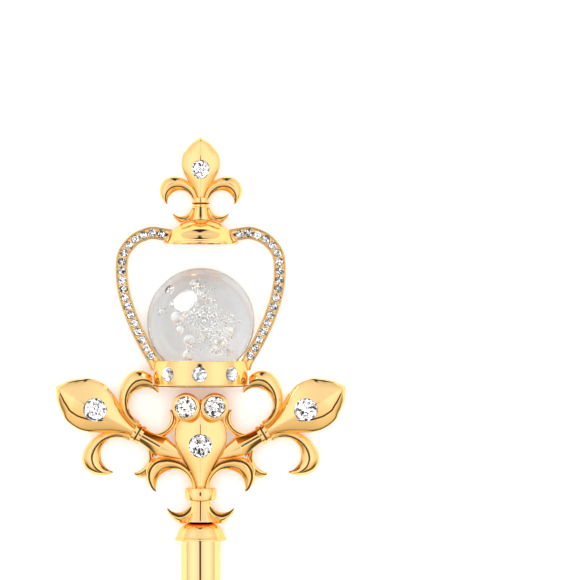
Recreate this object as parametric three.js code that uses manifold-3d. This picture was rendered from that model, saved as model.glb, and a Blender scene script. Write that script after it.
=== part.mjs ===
// Pageant sceptre: a long gilt tube with a cast head. The head carries three
// fleurs-de-lis, two stone cups, a crown band with two stone-set arches, a
// bubble-glass ball, a bell-shaped boss and a smaller fleur as the finial.
// Millimetres. The staff frame has +Y towards the head, +X to the right of the
// front and +Z out of the front. The whole staff then lies down: its ball and its
// tail ferrule touch the ground on small flats, so the staff frame is tilted.
import * as THREE from 'three';
import { mergeVertices } from 'three/addons/utils/BufferGeometryUtils.js';
import Module from 'manifold-3d';

const wasm = await Module();
wasm.setup();

// ---------------------------------------------------------------- dimensions
const LENGTH = 464;            // nub end to finial tip
const GAP = 0.08;              // clearance left at a soldered or set joint
const RAD = Math.PI / 180;

const TUBE_R = 5.45, TUBE_WALL = 0.8, TUBE_TOP = 354.1, TUBE_FOOT = 13.2;
const CAP_BAND_R = 5.75, CAP_BAND_LOW = 9.9;
const SOCKET_RIM = 351.9, SOCKET_R = 7.2, SOCKET_H = 5.5;

const BALL_R = 15, BALL_Y = 412.65, BALL_FLAT = 0.3;
const SEAT_CLEAR = 0.25;       // ball to its dished seat
const BAND_R = 13.2, BAND_TOP = 401.9, BAND_LOW = 394.75, BAND_WALL = 1.0, BAND_LIP = 0.18;
const ARCH_W = 3.47, ARCH_T = 2.3, CHANNEL_W = 2.62, CHANNEL_D = 1.15;
const ARCH_STONE_R = 1.2, ARCH_STONES = 18;
const BELL_LOW = 434.3, BELL_R = 10.5, BELL_H = 6.8, BELL_WALL = 1.2;

const CUP_R = 3.9, CUP_X = 3.99, CUP_Y = 389.1, CUP_BASE = 1.0, CUP_TOP = 5.2;

// stones: girdle radius
const BIG_STONE = 3.2, CUP_STONE = 2.85, TOP_STONE = 2.53, BAND_STONE = 2.03;
const CROWN_H = 0.30, PAVILION_H = 0.80, TABLE_R = 0.56;   // shares of the girdle radius

// resting attitude: ball centre and ferrule centre stand this high over the ground
const BALL_H = BALL_R - BALL_FLAT, FERRULE_Y = 11.5, FERRULE_H = CAP_BAND_R - 0.15;
const TILT = Math.asin((BALL_H - FERRULE_H) / (BALL_Y - FERRULE_Y));

// ---------------------------------------------------------------- materials
const gilt = (name, color, roughness) =>
  new THREE.MeshStandardMaterial({ name, color, metalness: 1, roughness });
const goldCast = () => gilt('gilt casting', 0xf6bd5a, 0.18);
const goldTube = () => gilt('gilt tube', 0xf7d58a, 0.12);
const stoneMat = () => new THREE.MeshStandardMaterial({
  name: 'rhinestone', color: 0xe9eef2, metalness: 0.1, roughness: 0.03 });
const glassMat = () => new THREE.MeshStandardMaterial({
  name: 'bubble glass', color: 0xf4f6f7, metalness: 0, roughness: 0.02,
  transparent: true, opacity: 0.35 });

// ---------------------------------------------------------------- solid helpers
function soup(positions, index) {
  const g = new THREE.BufferGeometry();
  g.setAttribute('position', new THREE.Float32BufferAttribute(positions, 3));
  g.setIndex(index);
  return g;
}

// merged vertices, no collapsed triangles, faces pointing out
function clean(geometry) {
  let g = geometry.clone();
  g.deleteAttribute('normal');
  g.deleteAttribute('uv');
  g = mergeVertices(g, 1e-4);
  const p = g.getAttribute('position');
  const ix = g.getIndex() ? Array.from(g.getIndex().array)
    : Array.from({ length: p.count }, (_, i) => i);
  const a = new THREE.Vector3(), b = new THREE.Vector3(), c = new THREE.Vector3();
  const keep = [];
  let volume = 0;
  for (let i = 0; i < ix.length; i += 3) {
    const [u, v, w] = [ix[i], ix[i + 1], ix[i + 2]];
    if (u === v || v === w || u === w) continue;
    keep.push(u, v, w);
    volume += a.fromBufferAttribute(p, u).dot(
      b.fromBufferAttribute(p, v).cross(c.fromBufferAttribute(p, w)));
  }
  if (volume < 0) for (let i = 0; i < keep.length; i += 3)
    [keep[i + 1], keep[i + 2]] = [keep[i + 2], keep[i + 1]];
  g.setIndex(keep);
  return g;
}

function solid(geometry) {
  const g = clean(geometry);
  return new wasm.Manifold(new wasm.Mesh({
    numProp: 3,
    vertProperties: new Float32Array(g.getAttribute('position').array),
    triVerts: new Uint32Array(g.getIndex().array),
  }));
}

function geometryOf(manifold) {
  const m = manifold.getMesh();
  const g = soup(Array.from(m.vertProperties), Array.from(m.triVerts));
  g.computeVertexNormals();
  return g;
}

const join = (...parts) => parts.reduce((s, p) => s.add(p));
const cut = (body, ...tools) => tools.reduce((s, t) => s.subtract(t), body);
const moved = (geometry, matrix) => geometry.clone().applyMatrix4(matrix);

// a skin over closed sections of equal count; a section of one point is a tip
function loft(sections) {
  const pos = [], start = [], ix = [];
  for (const s of sections) {
    start.push(pos.length / 3);
    for (const q of s) pos.push(q.x, q.y, q.z);
  }
  for (let k = 0; k + 1 < sections.length; k++) {
    const A = sections[k], B = sections[k + 1], a = start[k], b = start[k + 1];
    const n = Math.max(A.length, B.length);
    for (let i = 0; i < n; i++) {
      const j = (i + 1) % n;
      if (A.length === 1) ix.push(a, b + i, b + j);
      else if (B.length === 1) ix.push(a + i, b, a + j);
      else ix.push(a + i, b + i, b + j, a + i, b + j, a + j);
    }
  }
  const last = sections.length - 1;
  for (const [k, flip] of [[0, false], [last, true]]) {
    const n = sections[k].length;
    if (n < 3) continue;
    for (let i = 1; i + 1 < n; i++) {
      const t = [start[k], start[k] + i, start[k] + i + 1];
      ix.push(...(flip ? [t[0], t[2], t[1]] : t));
    }
  }
  return soup(pos, ix);
}

// a smooth curve through a few [where, how much] pairs, sampled n + 1 times
function through(pairs, n) {
  const c = new THREE.SplineCurve(pairs.map(([a, b]) => new THREE.Vector2(a, b)));
  return c.getPoints(n).map((q) => [q.x, q.y]);
}

const turned = (profile, segments) => new THREE.LatheGeometry(
  profile.map(([r, y]) => new THREE.Vector2(r, y)), segments);

// a turned form about Z instead of Y
const turnedZ = (profile, segments) => turned(profile, segments).rotateX(Math.PI / 2);

// ---------------------------------------------------------------- fleur-de-lis
// Local frame: x across, y along the axis towards the bud's tip, z out of the front,
// origin at the collar. Every size is for the large fleur; the finial scales it.
const BUD_SHAPE = [[0, 0.03], [0.035, 0.2], [0.077, 0.415], [0.13, 0.59], [0.186, 0.74],
  [0.248, 0.9], [0.318, 0.975], [0.4, 1.0], [0.47, 0.975], [0.548, 0.885],
  [0.647, 0.7], [0.79, 0.42], [0.92, 0.235], [1.0, 0.215]];   // share of length, of half-width
const PETAL_SHAPE = [[-98, 0.40], [-74, 0.36], [-53, 0.37], [-34, 0.44], [-16, 0.56], [2, 0.70],
  [20, 0.87], [38, 1.0], [54, 0.93], [68, 0.73], [80, 0.50], [92, 0.29], [101, 0.13], [105, 0.05]];
const CURL_SHAPE = [[-78, 0.30], [-55, 0.70], [-30, 0.97], [-13, 1.0], [3, 0.82], [18, 0.53],
  [34, 0.34], [46, 0.20], [51, 0.07]];                        // degrees round the hook, of width
const SIDE_CURL_SHAPE = [[-72, 0.46], [-48, 0.54], [-28, 0.67], [-6, 0.84], [16, 1.0], [31, 0.92],
  [42, 0.72], [49, 0.44], [52, 0.16]];

const SMALL_PETAL_SHAPE = [[-95, 0.42], [-66, 0.46], [-44, 0.56], [-23, 0.68], [-9, 0.78], [10, 0.93],
  [26, 1.0], [39, 0.96], [52, 0.84], [65, 0.66], [76, 0.45], [88, 0.22], [97, 0.07]];

const LARGE = {
  length: 26.25, halfWidth: 7.2, ridge: 3.3, back: 1.3,
  petal: { y: 1.95, x: 7.93, bore: 4.81, width: 5.25, rise: 2.1, sink: 1.0 },
  curl: { y: -1.53, x: 6.26, bore: 4.7, width: 2.34, rise: 1.6, sink: 0.9, shape: SIDE_CURL_SHAPE },
  collar: { rx: 2.7, rz: 2.9, low: -1.4, high: 1.4, groove: 0.3 },
  stem: { top: 2.1, foot: 3.15, low: -7.5, facet: 0.5, facetFoot: 0.6, z: 2.3, zFoot: 2.6 },
};
const SMALL_CURL_SHAPE = [[-78, 0.34], [-55, 0.72], [-30, 0.97], [-13, 1.0], [2, 0.82], [15, 0.55],
  [28, 0.38], [38, 0.22], [42, 0.08]];
const SMALL = {
  length: 18.1, halfWidth: 5.4, ridge: 2.6, back: 1.1,
  petal: { y: -0.1, x: 5.8, bore: 3.42, width: 4.32, rise: 1.7, sink: 0.8, shape: SMALL_PETAL_SHAPE },
  curl: { y: -0.7, x: 5.6, bore: 3.12, width: 2.3, rise: 1.2, sink: 0.7, shape: SMALL_CURL_SHAPE },
  collar: { rx: 2.37, rz: 2.5, low: -1.32, high: 1.32, groove: -0.35 },
  stem: { top: 1.85, foot: 3.3, low: -5.9, facet: 0.97, facetFoot: 1.4, z: 1.9, zFoot: 2.2 },
};
const EDGE = 0.25;             // half of the thickness left at a casting's outline

// facet that falls from a crisp ridge (t = 0) to the outline (t = 1)
const slope = (t) => (1 - t) * (1 + 0.5 * t);

function bud(f, steps, g = 0) {
  const tip = f.length;
  const sections = [];
  through(BUD_SHAPE, steps).forEach(([share, wide], i) => {
    const w = Math.max(0.12, f.halfWidth * wide) + g;
    const y = tip * (1 - share) + (i === 0 ? g : 0);
    const full = Math.pow(Math.min(1, Math.max(0.02, wide)), 0.7);
    const top = 0.35 + (f.ridge - 0.35) * full + g, back = 0.3 + (f.back - 0.3) * full + g;
    const e = EDGE + g;
    const front = [-1, -0.52, 0, 0.52, 1].map((t) =>
      new THREE.Vector3(t * w, y, e + (top - e) * slope(Math.abs(t))));
    const rear = [1, 0.5, -0.5, -1].map((t) =>
      new THREE.Vector3(t * w, y, -e - (back - e) * (1 - t * t)));
    sections.push([...front, ...rear]);
  });
  return loft(sections);
}

// horn of a hook: sections fan round the hook's centre, crest along the middle
function hook(h, shape, steps, place, g = 0) {
  const pts = through(shape, steps);
  const sections = pts.map(([deg, share], i) => {
    const a = (deg + (i === pts.length - 1 ? 1 : 0) * g * 4) * RAD;
    const w = h.width * share + 2 * g, r0 = h.bore - g;
    const rise = EDGE + (h.rise - EDGE) * Math.pow(Math.min(1, share), 0.75) + g;
    const sink = EDGE + (h.sink - EDGE) * Math.pow(Math.min(1, share), 0.75) + g;
    const e = Math.min(EDGE + g, rise * 0.8);
    const front = [0, 0.5, 1].map((t) =>
      place(r0 + w * t, a, e + (rise - e) * slope(Math.abs(2 * t - 1))));
    const rear = [1, 0.5, 0].map((t) =>
      place(r0 + w * t, a, -Math.min(e, sink) - (t === 0.5 ? sink - Math.min(e, sink) : 0)));
    return [...front, ...rear];
  });
  return loft(sections);
}
const petal = (f, side, steps, g) => hook(f.petal, f.petal.shape || PETAL_SHAPE, steps, (r, a, z) =>
  new THREE.Vector3(side * (f.petal.x + r * Math.sin(a)), f.petal.y + r * Math.cos(a), z), g);
const curl = (f, side, steps, g) => hook(f.curl, f.curl.shape || CURL_SHAPE, steps, (r, a, z) =>
  new THREE.Vector3(side * (f.curl.x + r * Math.sin(a)), f.curl.y - r * Math.cos(a), z), g);

// collar with a groove turned round it, flattened front to back
function collar(c, g = 0, segments = 16) {
  const d = 0.22;
  const profile = [[0, c.low - g], [c.rx + g, c.low - g]];
  if (c.groove !== null && g === 0) profile.push([c.rx, c.groove - d],
    [c.rx - 0.22, c.groove - d * 0.5], [c.rx - 0.22, c.groove + d * 0.5], [c.rx, c.groove + d]);
  profile.push([c.rx + g, c.high + g], [0, c.high + g]);
  return turned(profile, segments).scale(1, 1, (c.rz + g) / (c.rx + g)).translate(0, 0, c.z || 0);
}

// eight-sided stem that flares to the foot, with a flat facet down its front
function stem(f, g = 0) {
  const s = f.stem, top = f.collar.low + 0.4;
  const rows = [0, 0.25, 0.5, 0.75, 1].map((t) => {
    const flare = t * t;
    const w = s.top + (s.foot - s.top) * flare + g;
    const q = s.facet + (s.facetFoot - s.facet) * flare;
    const z = s.z + (s.zFoot - s.z) * flare + g, c = s.c || 0;
    const y = top + (s.low - top) * t;
    return [[-w, -z * 0.4], [-w, z * 0.4], [-q, z], [q, z], [w, z * 0.4], [w, -z * 0.4],
      [q, -z], [-q, -z]].map(([x, zz]) => new THREE.Vector3(x, y, zz + c * (1 - t)));
  });
  return loft(rows);
}

// tapering root of a side fleur, from its foot to the hub
function root(side) {
  return loft([[-7.2, 3.1, 1.7, 0], [-11.0, 2.0, 1.5, 0.25], [-14.2, 1.35, 1.25, 0.8],
    [-17.4, 1.15, 1.1, 1.6]].map(([y, w, z, bend]) =>
    [[-w, 0], [-w * 0.5, z], [w * 0.5, z], [w, 0], [w * 0.5, -z], [-w * 0.5, -z]]
      .map(([x, zz]) => new THREE.Vector3(x - side * bend, y, zz))));
}

function fleur(f, { g = 0, fine = 1 } = {}) {
  const n = (k) => Math.round(k * fine);
  return [bud(f, n(12), g), petal(f, -1, n(11), g), petal(f, 1, n(11), g),
    curl(f, -1, n(7), g), curl(f, 1, n(7), g), collar(f.collar, g), stem(f, g)];
}

// pocket for a stone whose girdle stands at z = 0 and faces +Z
const pocket = (r, reach, segments = 14) => turnedZ([[0, -r * PAVILION_H - 0.16],
  [r + GAP, -0.12], [r + GAP, reach], [0, reach]], segments);

// ---------------------------------------------------------------- stones
// round brilliant, girdle radius r at z = 0
function brilliant(r) {
  const hc = r * CROWN_H, hp = r * PAVILION_H, rt = r * TABLE_R;
  const rs = 0.79 * r, rl = 0.26 * r, c22 = Math.cos(22.5 * RAD);
  const zs = hc * (r - rs * c22) / (r - rt), zl = -hp * (1 - rl * c22 / r);
  const P = [], ring = (n, rad, z, off) => {
    const s = P.length / 3;
    for (let i = 0; i < n; i++) {
      const a = (i + off) * 2 * Math.PI / n;
      P.push(rad * Math.cos(a), rad * Math.sin(a), z);
    }
    return (i) => s + ((i % n) + n) % n;
  };
  const T = ring(8, rt, hc, 0), S = ring(8, rs, zs, 0.5), G = ring(16, r, 0, 0),
    L = ring(8, rl, zl, 0.5);
  P.push(0, 0, -hp);
  const K = P.length / 3 - 1, ix = [];
  for (let i = 1; i < 7; i++) ix.push(T(0), T(i), T(i + 1));
  for (let i = 0; i < 8; i++) {
    ix.push(T(i), S(i), T(i + 1));
    ix.push(T(i), S(i - 1), G(2 * i), T(i), G(2 * i), S(i));
    ix.push(S(i), G(2 * i), G(2 * i + 1), S(i), G(2 * i + 1), G(2 * i + 2));
    ix.push(L(i), G(2 * i + 1), G(2 * i), L(i), G(2 * i + 2), G(2 * i + 1));
    ix.push(K, G(2 * i), L(i - 1), K, L(i), G(2 * i));
  }
  return clean(soup(P, ix));
}
// small single-cut stone
function singleCut(r) {
  return turnedZ([[0, -r * PAVILION_H], [r, 0], [r * TABLE_R, r * CROWN_H], [0, r * CROWN_H]], 8);
}

// ---------------------------------------------------------------- turned pieces
const arc = (r, y0, a0, a1, n) => Array.from({ length: n + 1 }, (_, i) => {
  const a = (a0 + (a1 - a0) * i / n) * RAD;
  return [r * Math.cos(a), y0 + r * Math.sin(a)];
});

function bell(g = 0) {
  // share of height and radius up the outside
  const out = [[1, 0], [1, 0.1], [0.93, 0.2], [0.872, 0.33], [0.808, 0.49], [0.705, 0.65],
    [0.556, 0.81], [0.36, 0.93], [0.16, 0.99], [0, 1]]
    .map(([r, h]) => [BELL_R * r + (r > 0 ? g : 0), BELL_LOW + BELL_H * h + (h === 0 ? -g : g)]);
  if (g > 0) return turned([[0, BELL_LOW - g], ...out], 24);
  const inside = [[0, 0.8], [0.36, 0.74], [0.6, 0.58], [0.73, 0.36], [0.82, 0.16], [0.885, 0]]
    .map(([r, h]) => [BELL_R * r, BELL_LOW + BELL_H * h]);
  return turned([...inside, ...out], 24);
}

function socket(g = 0) {
  const out = [[1, 0], [1, 0.07], [0.93, 0.2], [0.87, 0.42], [0.78, 0.64], [0.63, 0.82],
    [0.42, 0.94], [0.2, 0.99], [0, 1]]
    .map(([r, h]) => [SOCKET_R * r + (r > 0 ? g : 0), SOCKET_RIM + SOCKET_H * h + (h === 0 ? -g : g)]);
  if (g > 0) return turned([[0, SOCKET_RIM - g], ...out], 24);
  const bore = TUBE_R + GAP, deep = TUBE_TOP + GAP;
  return turned([[0, deep], [bore, deep], [bore, SOCKET_RIM], ...out], 24);
}

function band(g = 0) {
  if (g > 0) return turned([[0, BAND_LOW - g], [BAND_R + BAND_LIP + g, BAND_LOW - g],
    [BAND_R + BAND_LIP + g, BAND_TOP + g], [0, BAND_TOP + g]], 32);
  const seat = BALL_R + SEAT_CLEAR, rise = BALL_Y - BAND_TOP;
  const a1 = -Math.asin(rise / seat) / RAD;
  const dish = arc(seat, BALL_Y, -90, a1, 4);
  dish[0][0] = 0;
  const inner = BAND_R - BAND_WALL, floor = BALL_Y - seat - 1.0;
  return turned([[0, floor], [inner, floor], [inner, BAND_LOW], [BAND_R + BAND_LIP, BAND_LOW],
    [BAND_R + BAND_LIP, BAND_LOW + 0.45], [BAND_R, BAND_LOW + 0.6], [BAND_R, BAND_TOP],
    ...dish.reverse()], 32);
}

// centre line of the left arch: out from the bell, round the shoulder, down to the band
const ARCH_LINE = new THREE.CatmullRomCurve3([
  [8.3, 436.6], [10.94, 437.06], [13.58, 437.36], [15.95, 436.75], [18.3, 435.5], [20.1, 433.7],
  [21.42, 431.6], [21.93, 429.0], [21.98, 426.5], [21.84, 423.85], [21.45, 421.35], [20.87, 418.8],
  [20.12, 416.45], [19.34, 414.2], [18.4, 412.0], [17.42, 409.75], [16.28, 407.55], [15.14, 405.35],
  [13.86, 403.2], [12.75, 401.1], [12.2, 399.6],
].map(([x, y]) => new THREE.Vector3(x, y, 0)), false, 'centripetal');

// stones sit at equal steps along the part of the arch that is set
const ARCH_SET = (() => {
  const whole = ARCH_LINE.getLength();
  const at = (i) => {           // arc-length share of the i-th control point
    const lens = ARCH_LINE.getLengths(2000), k = Math.round(2000 * i / 20);
    return lens[k] / whole;
  };
  const a = at(1), b = at(18);
  return Array.from({ length: ARCH_STONES }, (_, i) => a + (b - a) * i / (ARCH_STONES - 1));
})();

function archFrame(share) {
  const p = ARCH_LINE.getPointAt(share), t = ARCH_LINE.getTangentAt(share);
  return { p, n: new THREE.Vector3(t.y, -t.x, 0).normalize() };
}

function arch(side, steps = 25) {
  const w = ARCH_W / 2, c = CHANNEL_W / 2, z = ARCH_T / 2, d = z - CHANNEL_D;
  const shape = [[-w, -z], [w, -z], [w, z], [c, z], [c, d], [-c, d], [-c, z], [-w, z]];
  const sections = [];
  for (let i = 0; i <= steps; i++) {
    const { p, n } = archFrame(i / steps);
    sections.push(shape.map(([a, zz]) =>
      new THREE.Vector3(side * (p.x + n.x * a), p.y + n.y * a, zz)));
  }
  // walls of the channel run out flat before the ends are closed
  return loftConcave(sections);
}

// ends of a channel section: closed with triangles of the U shape itself
function loftConcave(sections) {
  const n = sections[0].length, pos = [], ix = [];
  for (const s of sections) for (const q of s) pos.push(q.x, q.y, q.z);
  for (let k = 0; k + 1 < sections.length; k++) for (let i = 0; i < n; i++) {
    const j = (i + 1) % n, a = k * n, b = a + n;
    ix.push(a + i, b + i, b + j, a + i, b + j, a + j);
  }
  const lid = [[0, 1, 4], [1, 2, 4], [2, 3, 4], [0, 4, 5], [0, 5, 7], [5, 6, 7]];
  const e = (sections.length - 1) * n;
  for (const [a, b, c] of lid) { ix.push(a, b, c); ix.push(e + a, e + c, e + b); }
  return soup(pos, ix);
}

function cup(g = 0) {
  if (g > 0) return turnedZ([[0, CUP_BASE - g], [2.3 + g, CUP_BASE - g], [3.3 + g, CUP_BASE + 0.5],
    [CUP_R + g, CUP_BASE + 1.4], [CUP_R + g, CUP_TOP + 3], [0, CUP_TOP + 3]], 20);
  const s = CUP_TOP - 0.5, r = CUP_STONE + GAP;
  return turnedZ([[0, CUP_BASE], [2.3, CUP_BASE], [3.3, CUP_BASE + 0.5], [CUP_R, CUP_BASE + 1.4],
    [CUP_R, CUP_TOP - 0.35], [CUP_R - 0.25, CUP_TOP], [r + 0.2, CUP_TOP], [r, s + 0.1],
    [r, s - 0.12], [0, s - CUP_STONE * PAVILION_H - 0.16]], 20);
}

// ---------------------------------------------------------------- placing the head
const COLLAR_Y = 464 - (493.8 - 137.2) * 0.2783;      // front fleur's collar up the staff
const FRONT_Z = 1.4;
const FRONT = { ...LARGE,
  petal: { ...LARGE.petal, x: 7.6, width: 4.75 },
  curl: { y: -1.53, x: 6.32, bore: 3.6, width: 3.2, rise: 1.6, sink: 0.9 },
  collar: { rx: 4.38, rz: 4.0, low: -1.73, high: 1.75, groove: null, z: -0.7 },
  stem: { ...LARGE.stem, top: 2.6, foot: 4.6, low: -7.6, facet: 1.5, facetFoot: 2.2, z: 2.6, zFoot: 3.4,
    c: -0.9 } };
const SIDE_AT = { x: 17.48, y: 464 - (433.5 - 137.2) * 0.2783, lean: 60.4 };
const TOP_Y = 464 - (202.4 - 137.2) * 0.2783;
const HUB = { y: 373.6, r: 2.7, low: -2.0 };

const at = (x, y, z, turn = 0) => new THREE.Matrix4().compose(new THREE.Vector3(x, y, z),
  new THREE.Quaternion().setFromAxisAngle(new THREE.Vector3(0, 0, 1), turn * RAD),
  new THREE.Vector3(1, 1, 1));
const solids = (geometries, matrix) => join(...geometries.map((q) => solid(moved(q, matrix))));

const hub = (g) => new THREE.CylinderGeometry(HUB.r + g, HUB.r + g, FRONT_Z - HUB.low + g, 16)
  .rotateX(Math.PI / 2).translate(0, HUB.y, (FRONT_Z + HUB.low - g) / 2);

const frontPlace = at(0, COLLAR_Y, FRONT_Z);
const frontGrown = join(solids(fleur(FRONT, { g: GAP }), frontPlace), solid(hub(GAP)));
const cupGrown = (side) => solid(moved(cup(GAP), at(side * CUP_X, CUP_Y, 0)));
const stoneOn = (f) => f.length * (1 - 45.8 / 94.3);   // height of the bud's stone over the collar

// ---------------------------------------------------------------- the pieces
const pieces = new THREE.Group();       // staff frame
function piece(name, geometry, material, x = 0, y = 0, z = 0) {
  const g = clean(geometry);
  g.computeVertexNormals();
  const m = new THREE.Mesh(g, material);
  m.name = name;
  m.position.set(x, y, z);
  pieces.add(m);
  return m;
}

// --- staff
piece('staff_tube', turned([[TUBE_R - TUBE_WALL, TUBE_FOOT], [TUBE_R, TUBE_FOOT], [TUBE_R, TUBE_TOP],
  [TUBE_R - TUBE_WALL, TUBE_TOP], [TUBE_R - TUBE_WALL, TUBE_FOOT]], 28), goldTube());

const spigot = TUBE_R - TUBE_WALL - GAP;
const capBody = turned([[0, 0], [0.85, 0], [1.15, 0.3], [1.15, 2.0], [2.3, 2.2], [3.7, 2.9], [4.75, 4.2],
  [5.25, 5.9], [5.35, 7.6], [5.35, CAP_BAND_LOW - 0.5], [CAP_BAND_R - 0.25, CAP_BAND_LOW - 0.35],
  [CAP_BAND_R, CAP_BAND_LOW], [CAP_BAND_R, TUBE_FOOT - 0.35], [CAP_BAND_R - 0.3, TUBE_FOOT - GAP],
  [spigot, TUBE_FOOT - GAP], [spigot, TUBE_FOOT + 6], [0, TUBE_FOOT + 6]], 24);
const ground = new THREE.BoxGeometry(30, 60, 10).translate(0, 0, -5 - FERRULE_H).rotateX(-TILT)
  .translate(0, FERRULE_Y, 0);
piece('end_cap', geometryOf(cut(solid(capBody), solid(ground))), goldCast());
piece('staff_socket', socket(), goldCast());

// --- three large fleurs and the two stone cups
const seat = (r, x, y, z, reach = 3) => solid(moved(pocket(r, reach), at(x, y, z)));
const BIG_Z = 2.5;
piece('front_fleur', geometryOf(cut(
  join(solids(fleur(FRONT), frontPlace), solid(hub(0))),
  seat(BIG_STONE, 0, COLLAR_Y + stoneOn(FRONT), FRONT_Z + BIG_Z),
  cupGrown(-1), cupGrown(1), solid(socket(GAP)))), goldCast());
piece('front_stone', brilliant(BIG_STONE), stoneMat(), 0, COLLAR_Y + stoneOn(FRONT), FRONT_Z + BIG_Z);

for (const [side, name] of [[-1, 'left'], [1, 'right']]) {
  const place = at(side * SIDE_AT.x, SIDE_AT.y, 0, -side * SIDE_AT.lean);
  const a = -side * SIDE_AT.lean * RAD, up = stoneOn(LARGE);
  const gx = side * SIDE_AT.x - Math.sin(a) * up, gy = SIDE_AT.y + Math.cos(a) * up;
  piece(`${name}_fleur`, geometryOf(cut(
    join(solids(fleur(LARGE), place), solid(moved(root(side), place))),
    seat(BIG_STONE, gx, gy, BIG_Z), frontGrown, cupGrown(side), solid(band(GAP)))), goldCast());
  piece(`${name}_stone`, brilliant(BIG_STONE), stoneMat(), gx, gy, BIG_Z);
  piece(`${name}_cup`, cup(), goldCast(), side * CUP_X, CUP_Y, 0);
  piece(`${name}_cup_stone`, brilliant(CUP_STONE), stoneMat(), side * CUP_X, CUP_Y, CUP_TOP - 0.5);
}

// --- crown: band and both arches are one casting
const bandStoneAt = [-1, 0, 1].map((s) => {
  const x = s * 8.85, spot = Math.asin(x / BAND_R), turn = s * 36 * RAD;
  return { s, turn, p: new THREE.Vector3(BAND_R * Math.sin(spot), (BAND_TOP + BAND_LOW) / 2 - 0.05,
    BAND_R * Math.cos(spot)) };
});
const bandSeats = bandStoneAt.map(({ turn, p }) => {
  const flat = turnedZ([[0, 1.5], [BAND_STONE + GAP, 1.5], [BAND_STONE + GAP, -0.62],
    [BAND_STONE * 0.5, -1.15], [0, -1.15]], 14);
  return solid(flat.rotateY(turn).translate(p.x, p.y, p.z));
});
const bellGrown = solid(bell(GAP));
piece('crown_frame', geometryOf(cut(join(solid(band()), solid(arch(-1)), solid(arch(1))),
  bellGrown, ...bandSeats)), goldCast());
const BAND_STONE_HP = 0.9;              // these stones are shallow, the band is thin
bandStoneAt.forEach(({ s, turn, p }) => {
  const m = piece(`band_stone_${['left', 'middle', 'right'][s + 1]}`,
    brilliant(BAND_STONE).scale(1, 1, BAND_STONE_HP / (BAND_STONE * PAVILION_H) * 0.9), stoneMat());
  m.rotation.y = turn;
  m.position.set(p.x - Math.sin(turn) * 0.2, p.y, p.z - Math.cos(turn) * 0.2);
});

// --- stones of the arches, set in the channel
for (const [side, name] of [[-1, 'left'], [1, 'right']]) ARCH_SET.forEach((share, i) => {
  const { p } = archFrame(share);
  piece(`arch_stone_${name}_${String(i + 1).padStart(2, '0')}`,
    singleCut(ARCH_STONE_R), stoneMat(), side * p.x, p.y, ARCH_T / 2 - 0.12);
});

// --- ball with its small flat, turned so that the flat lies on the ground
const lowAngle = -Math.acos((Math.sqrt(BALL_R ** 2 - BALL_H ** 2)) / BALL_R) / RAD;
const ballProfile = [[0, -BALL_H], ...arc(BALL_R, 0, lowAngle, 90, 11)];
ballProfile[ballProfile.length - 1][0] = 0;
const ball = piece('crystal_ball', turnedZ(ballProfile, 24),
  glassMat(), 0, BALL_Y, 0);
ball.rotation.x = -TILT;

// --- bell and finial
piece('crown_bell', bell(), goldCast());
const topPlace = at(0, TOP_Y, 0);
piece('top_fleur', geometryOf(cut(solids(fleur(SMALL), topPlace),
  seat(TOP_STONE, 0, TOP_Y + 9.1, 1.95), bellGrown)), goldCast());
piece('top_stone', brilliant(TOP_STONE), stoneMat(), 0, TOP_Y + 9.1, 1.95);

// ---------------------------------------------------------------- laying it down
pieces.rotation.x = TILT;
const group = new THREE.Group();
group.name = 'sceptre';
group.add(pieces);
group.updateMatrixWorld(true);
const box = new THREE.Box3().setFromObject(group, true);
pieces.position.set(-(box.min.x + box.max.x) / 2, -(box.min.y + box.max.y) / 2, -box.min.z);
group.updateMatrixWorld(true);

export default group;
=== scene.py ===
# Looks of the sceptre: fine castings, faceted stones, bubble-glass ball, light and camera.
import math

import bmesh
import bpy
import numpy as np
from mathutils import Matrix, Vector
from mathutils.kdtree import KDTree


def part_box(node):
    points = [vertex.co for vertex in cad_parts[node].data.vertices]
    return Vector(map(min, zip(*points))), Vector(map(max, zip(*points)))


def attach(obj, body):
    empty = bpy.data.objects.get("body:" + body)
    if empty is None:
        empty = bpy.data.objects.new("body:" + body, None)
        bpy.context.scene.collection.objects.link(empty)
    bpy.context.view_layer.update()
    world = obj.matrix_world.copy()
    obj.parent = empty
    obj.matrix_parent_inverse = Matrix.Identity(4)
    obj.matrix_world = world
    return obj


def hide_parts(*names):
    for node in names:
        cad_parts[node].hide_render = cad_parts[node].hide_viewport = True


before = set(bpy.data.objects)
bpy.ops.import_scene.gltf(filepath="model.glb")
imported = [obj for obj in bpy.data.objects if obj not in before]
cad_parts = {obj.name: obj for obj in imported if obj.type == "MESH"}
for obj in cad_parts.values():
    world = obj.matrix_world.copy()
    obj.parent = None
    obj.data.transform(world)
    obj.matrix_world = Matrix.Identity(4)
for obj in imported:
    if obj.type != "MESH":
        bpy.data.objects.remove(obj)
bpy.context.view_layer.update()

RAD = math.pi / 180
GAP = 0.08
rng = np.random.default_rng(7)

# ------------------------------------------------------------------ staff frame
# Same sizes as the CAD model, in millimetres: +Y to the head, +Z out of the front.
TUBE_R, TUBE_WALL, TUBE_TOP, TUBE_FOOT = 5.45, 0.8, 354.1, 13.2
CAP_BAND_R, CAP_BAND_LOW = 5.75, 9.9
SOCKET_RIM, SOCKET_R, SOCKET_H = 351.9, 7.2, 5.5
BALL_R, BALL_Y, BALL_FLAT, SEAT_CLEAR = 15.0, 412.65, 0.3, 0.25
BAND_R, BAND_TOP, BAND_LOW, BAND_WALL, BAND_LIP = 13.2, 401.9, 394.75, 1.0, 0.18
ARCH_W, ARCH_T, CHANNEL_W, CHANNEL_D = 3.47, 2.3, 2.62, 1.15
ARCH_STONE_R, ARCH_STONES = 1.2, 18
BELL_LOW, BELL_R, BELL_H, BELL_WALL = 434.3, 10.5, 6.8, 1.2
CUP_R, CUP_X, CUP_Y, CUP_BASE, CUP_TOP = 3.9, 3.99, 389.1, 1.0, 5.2
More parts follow.
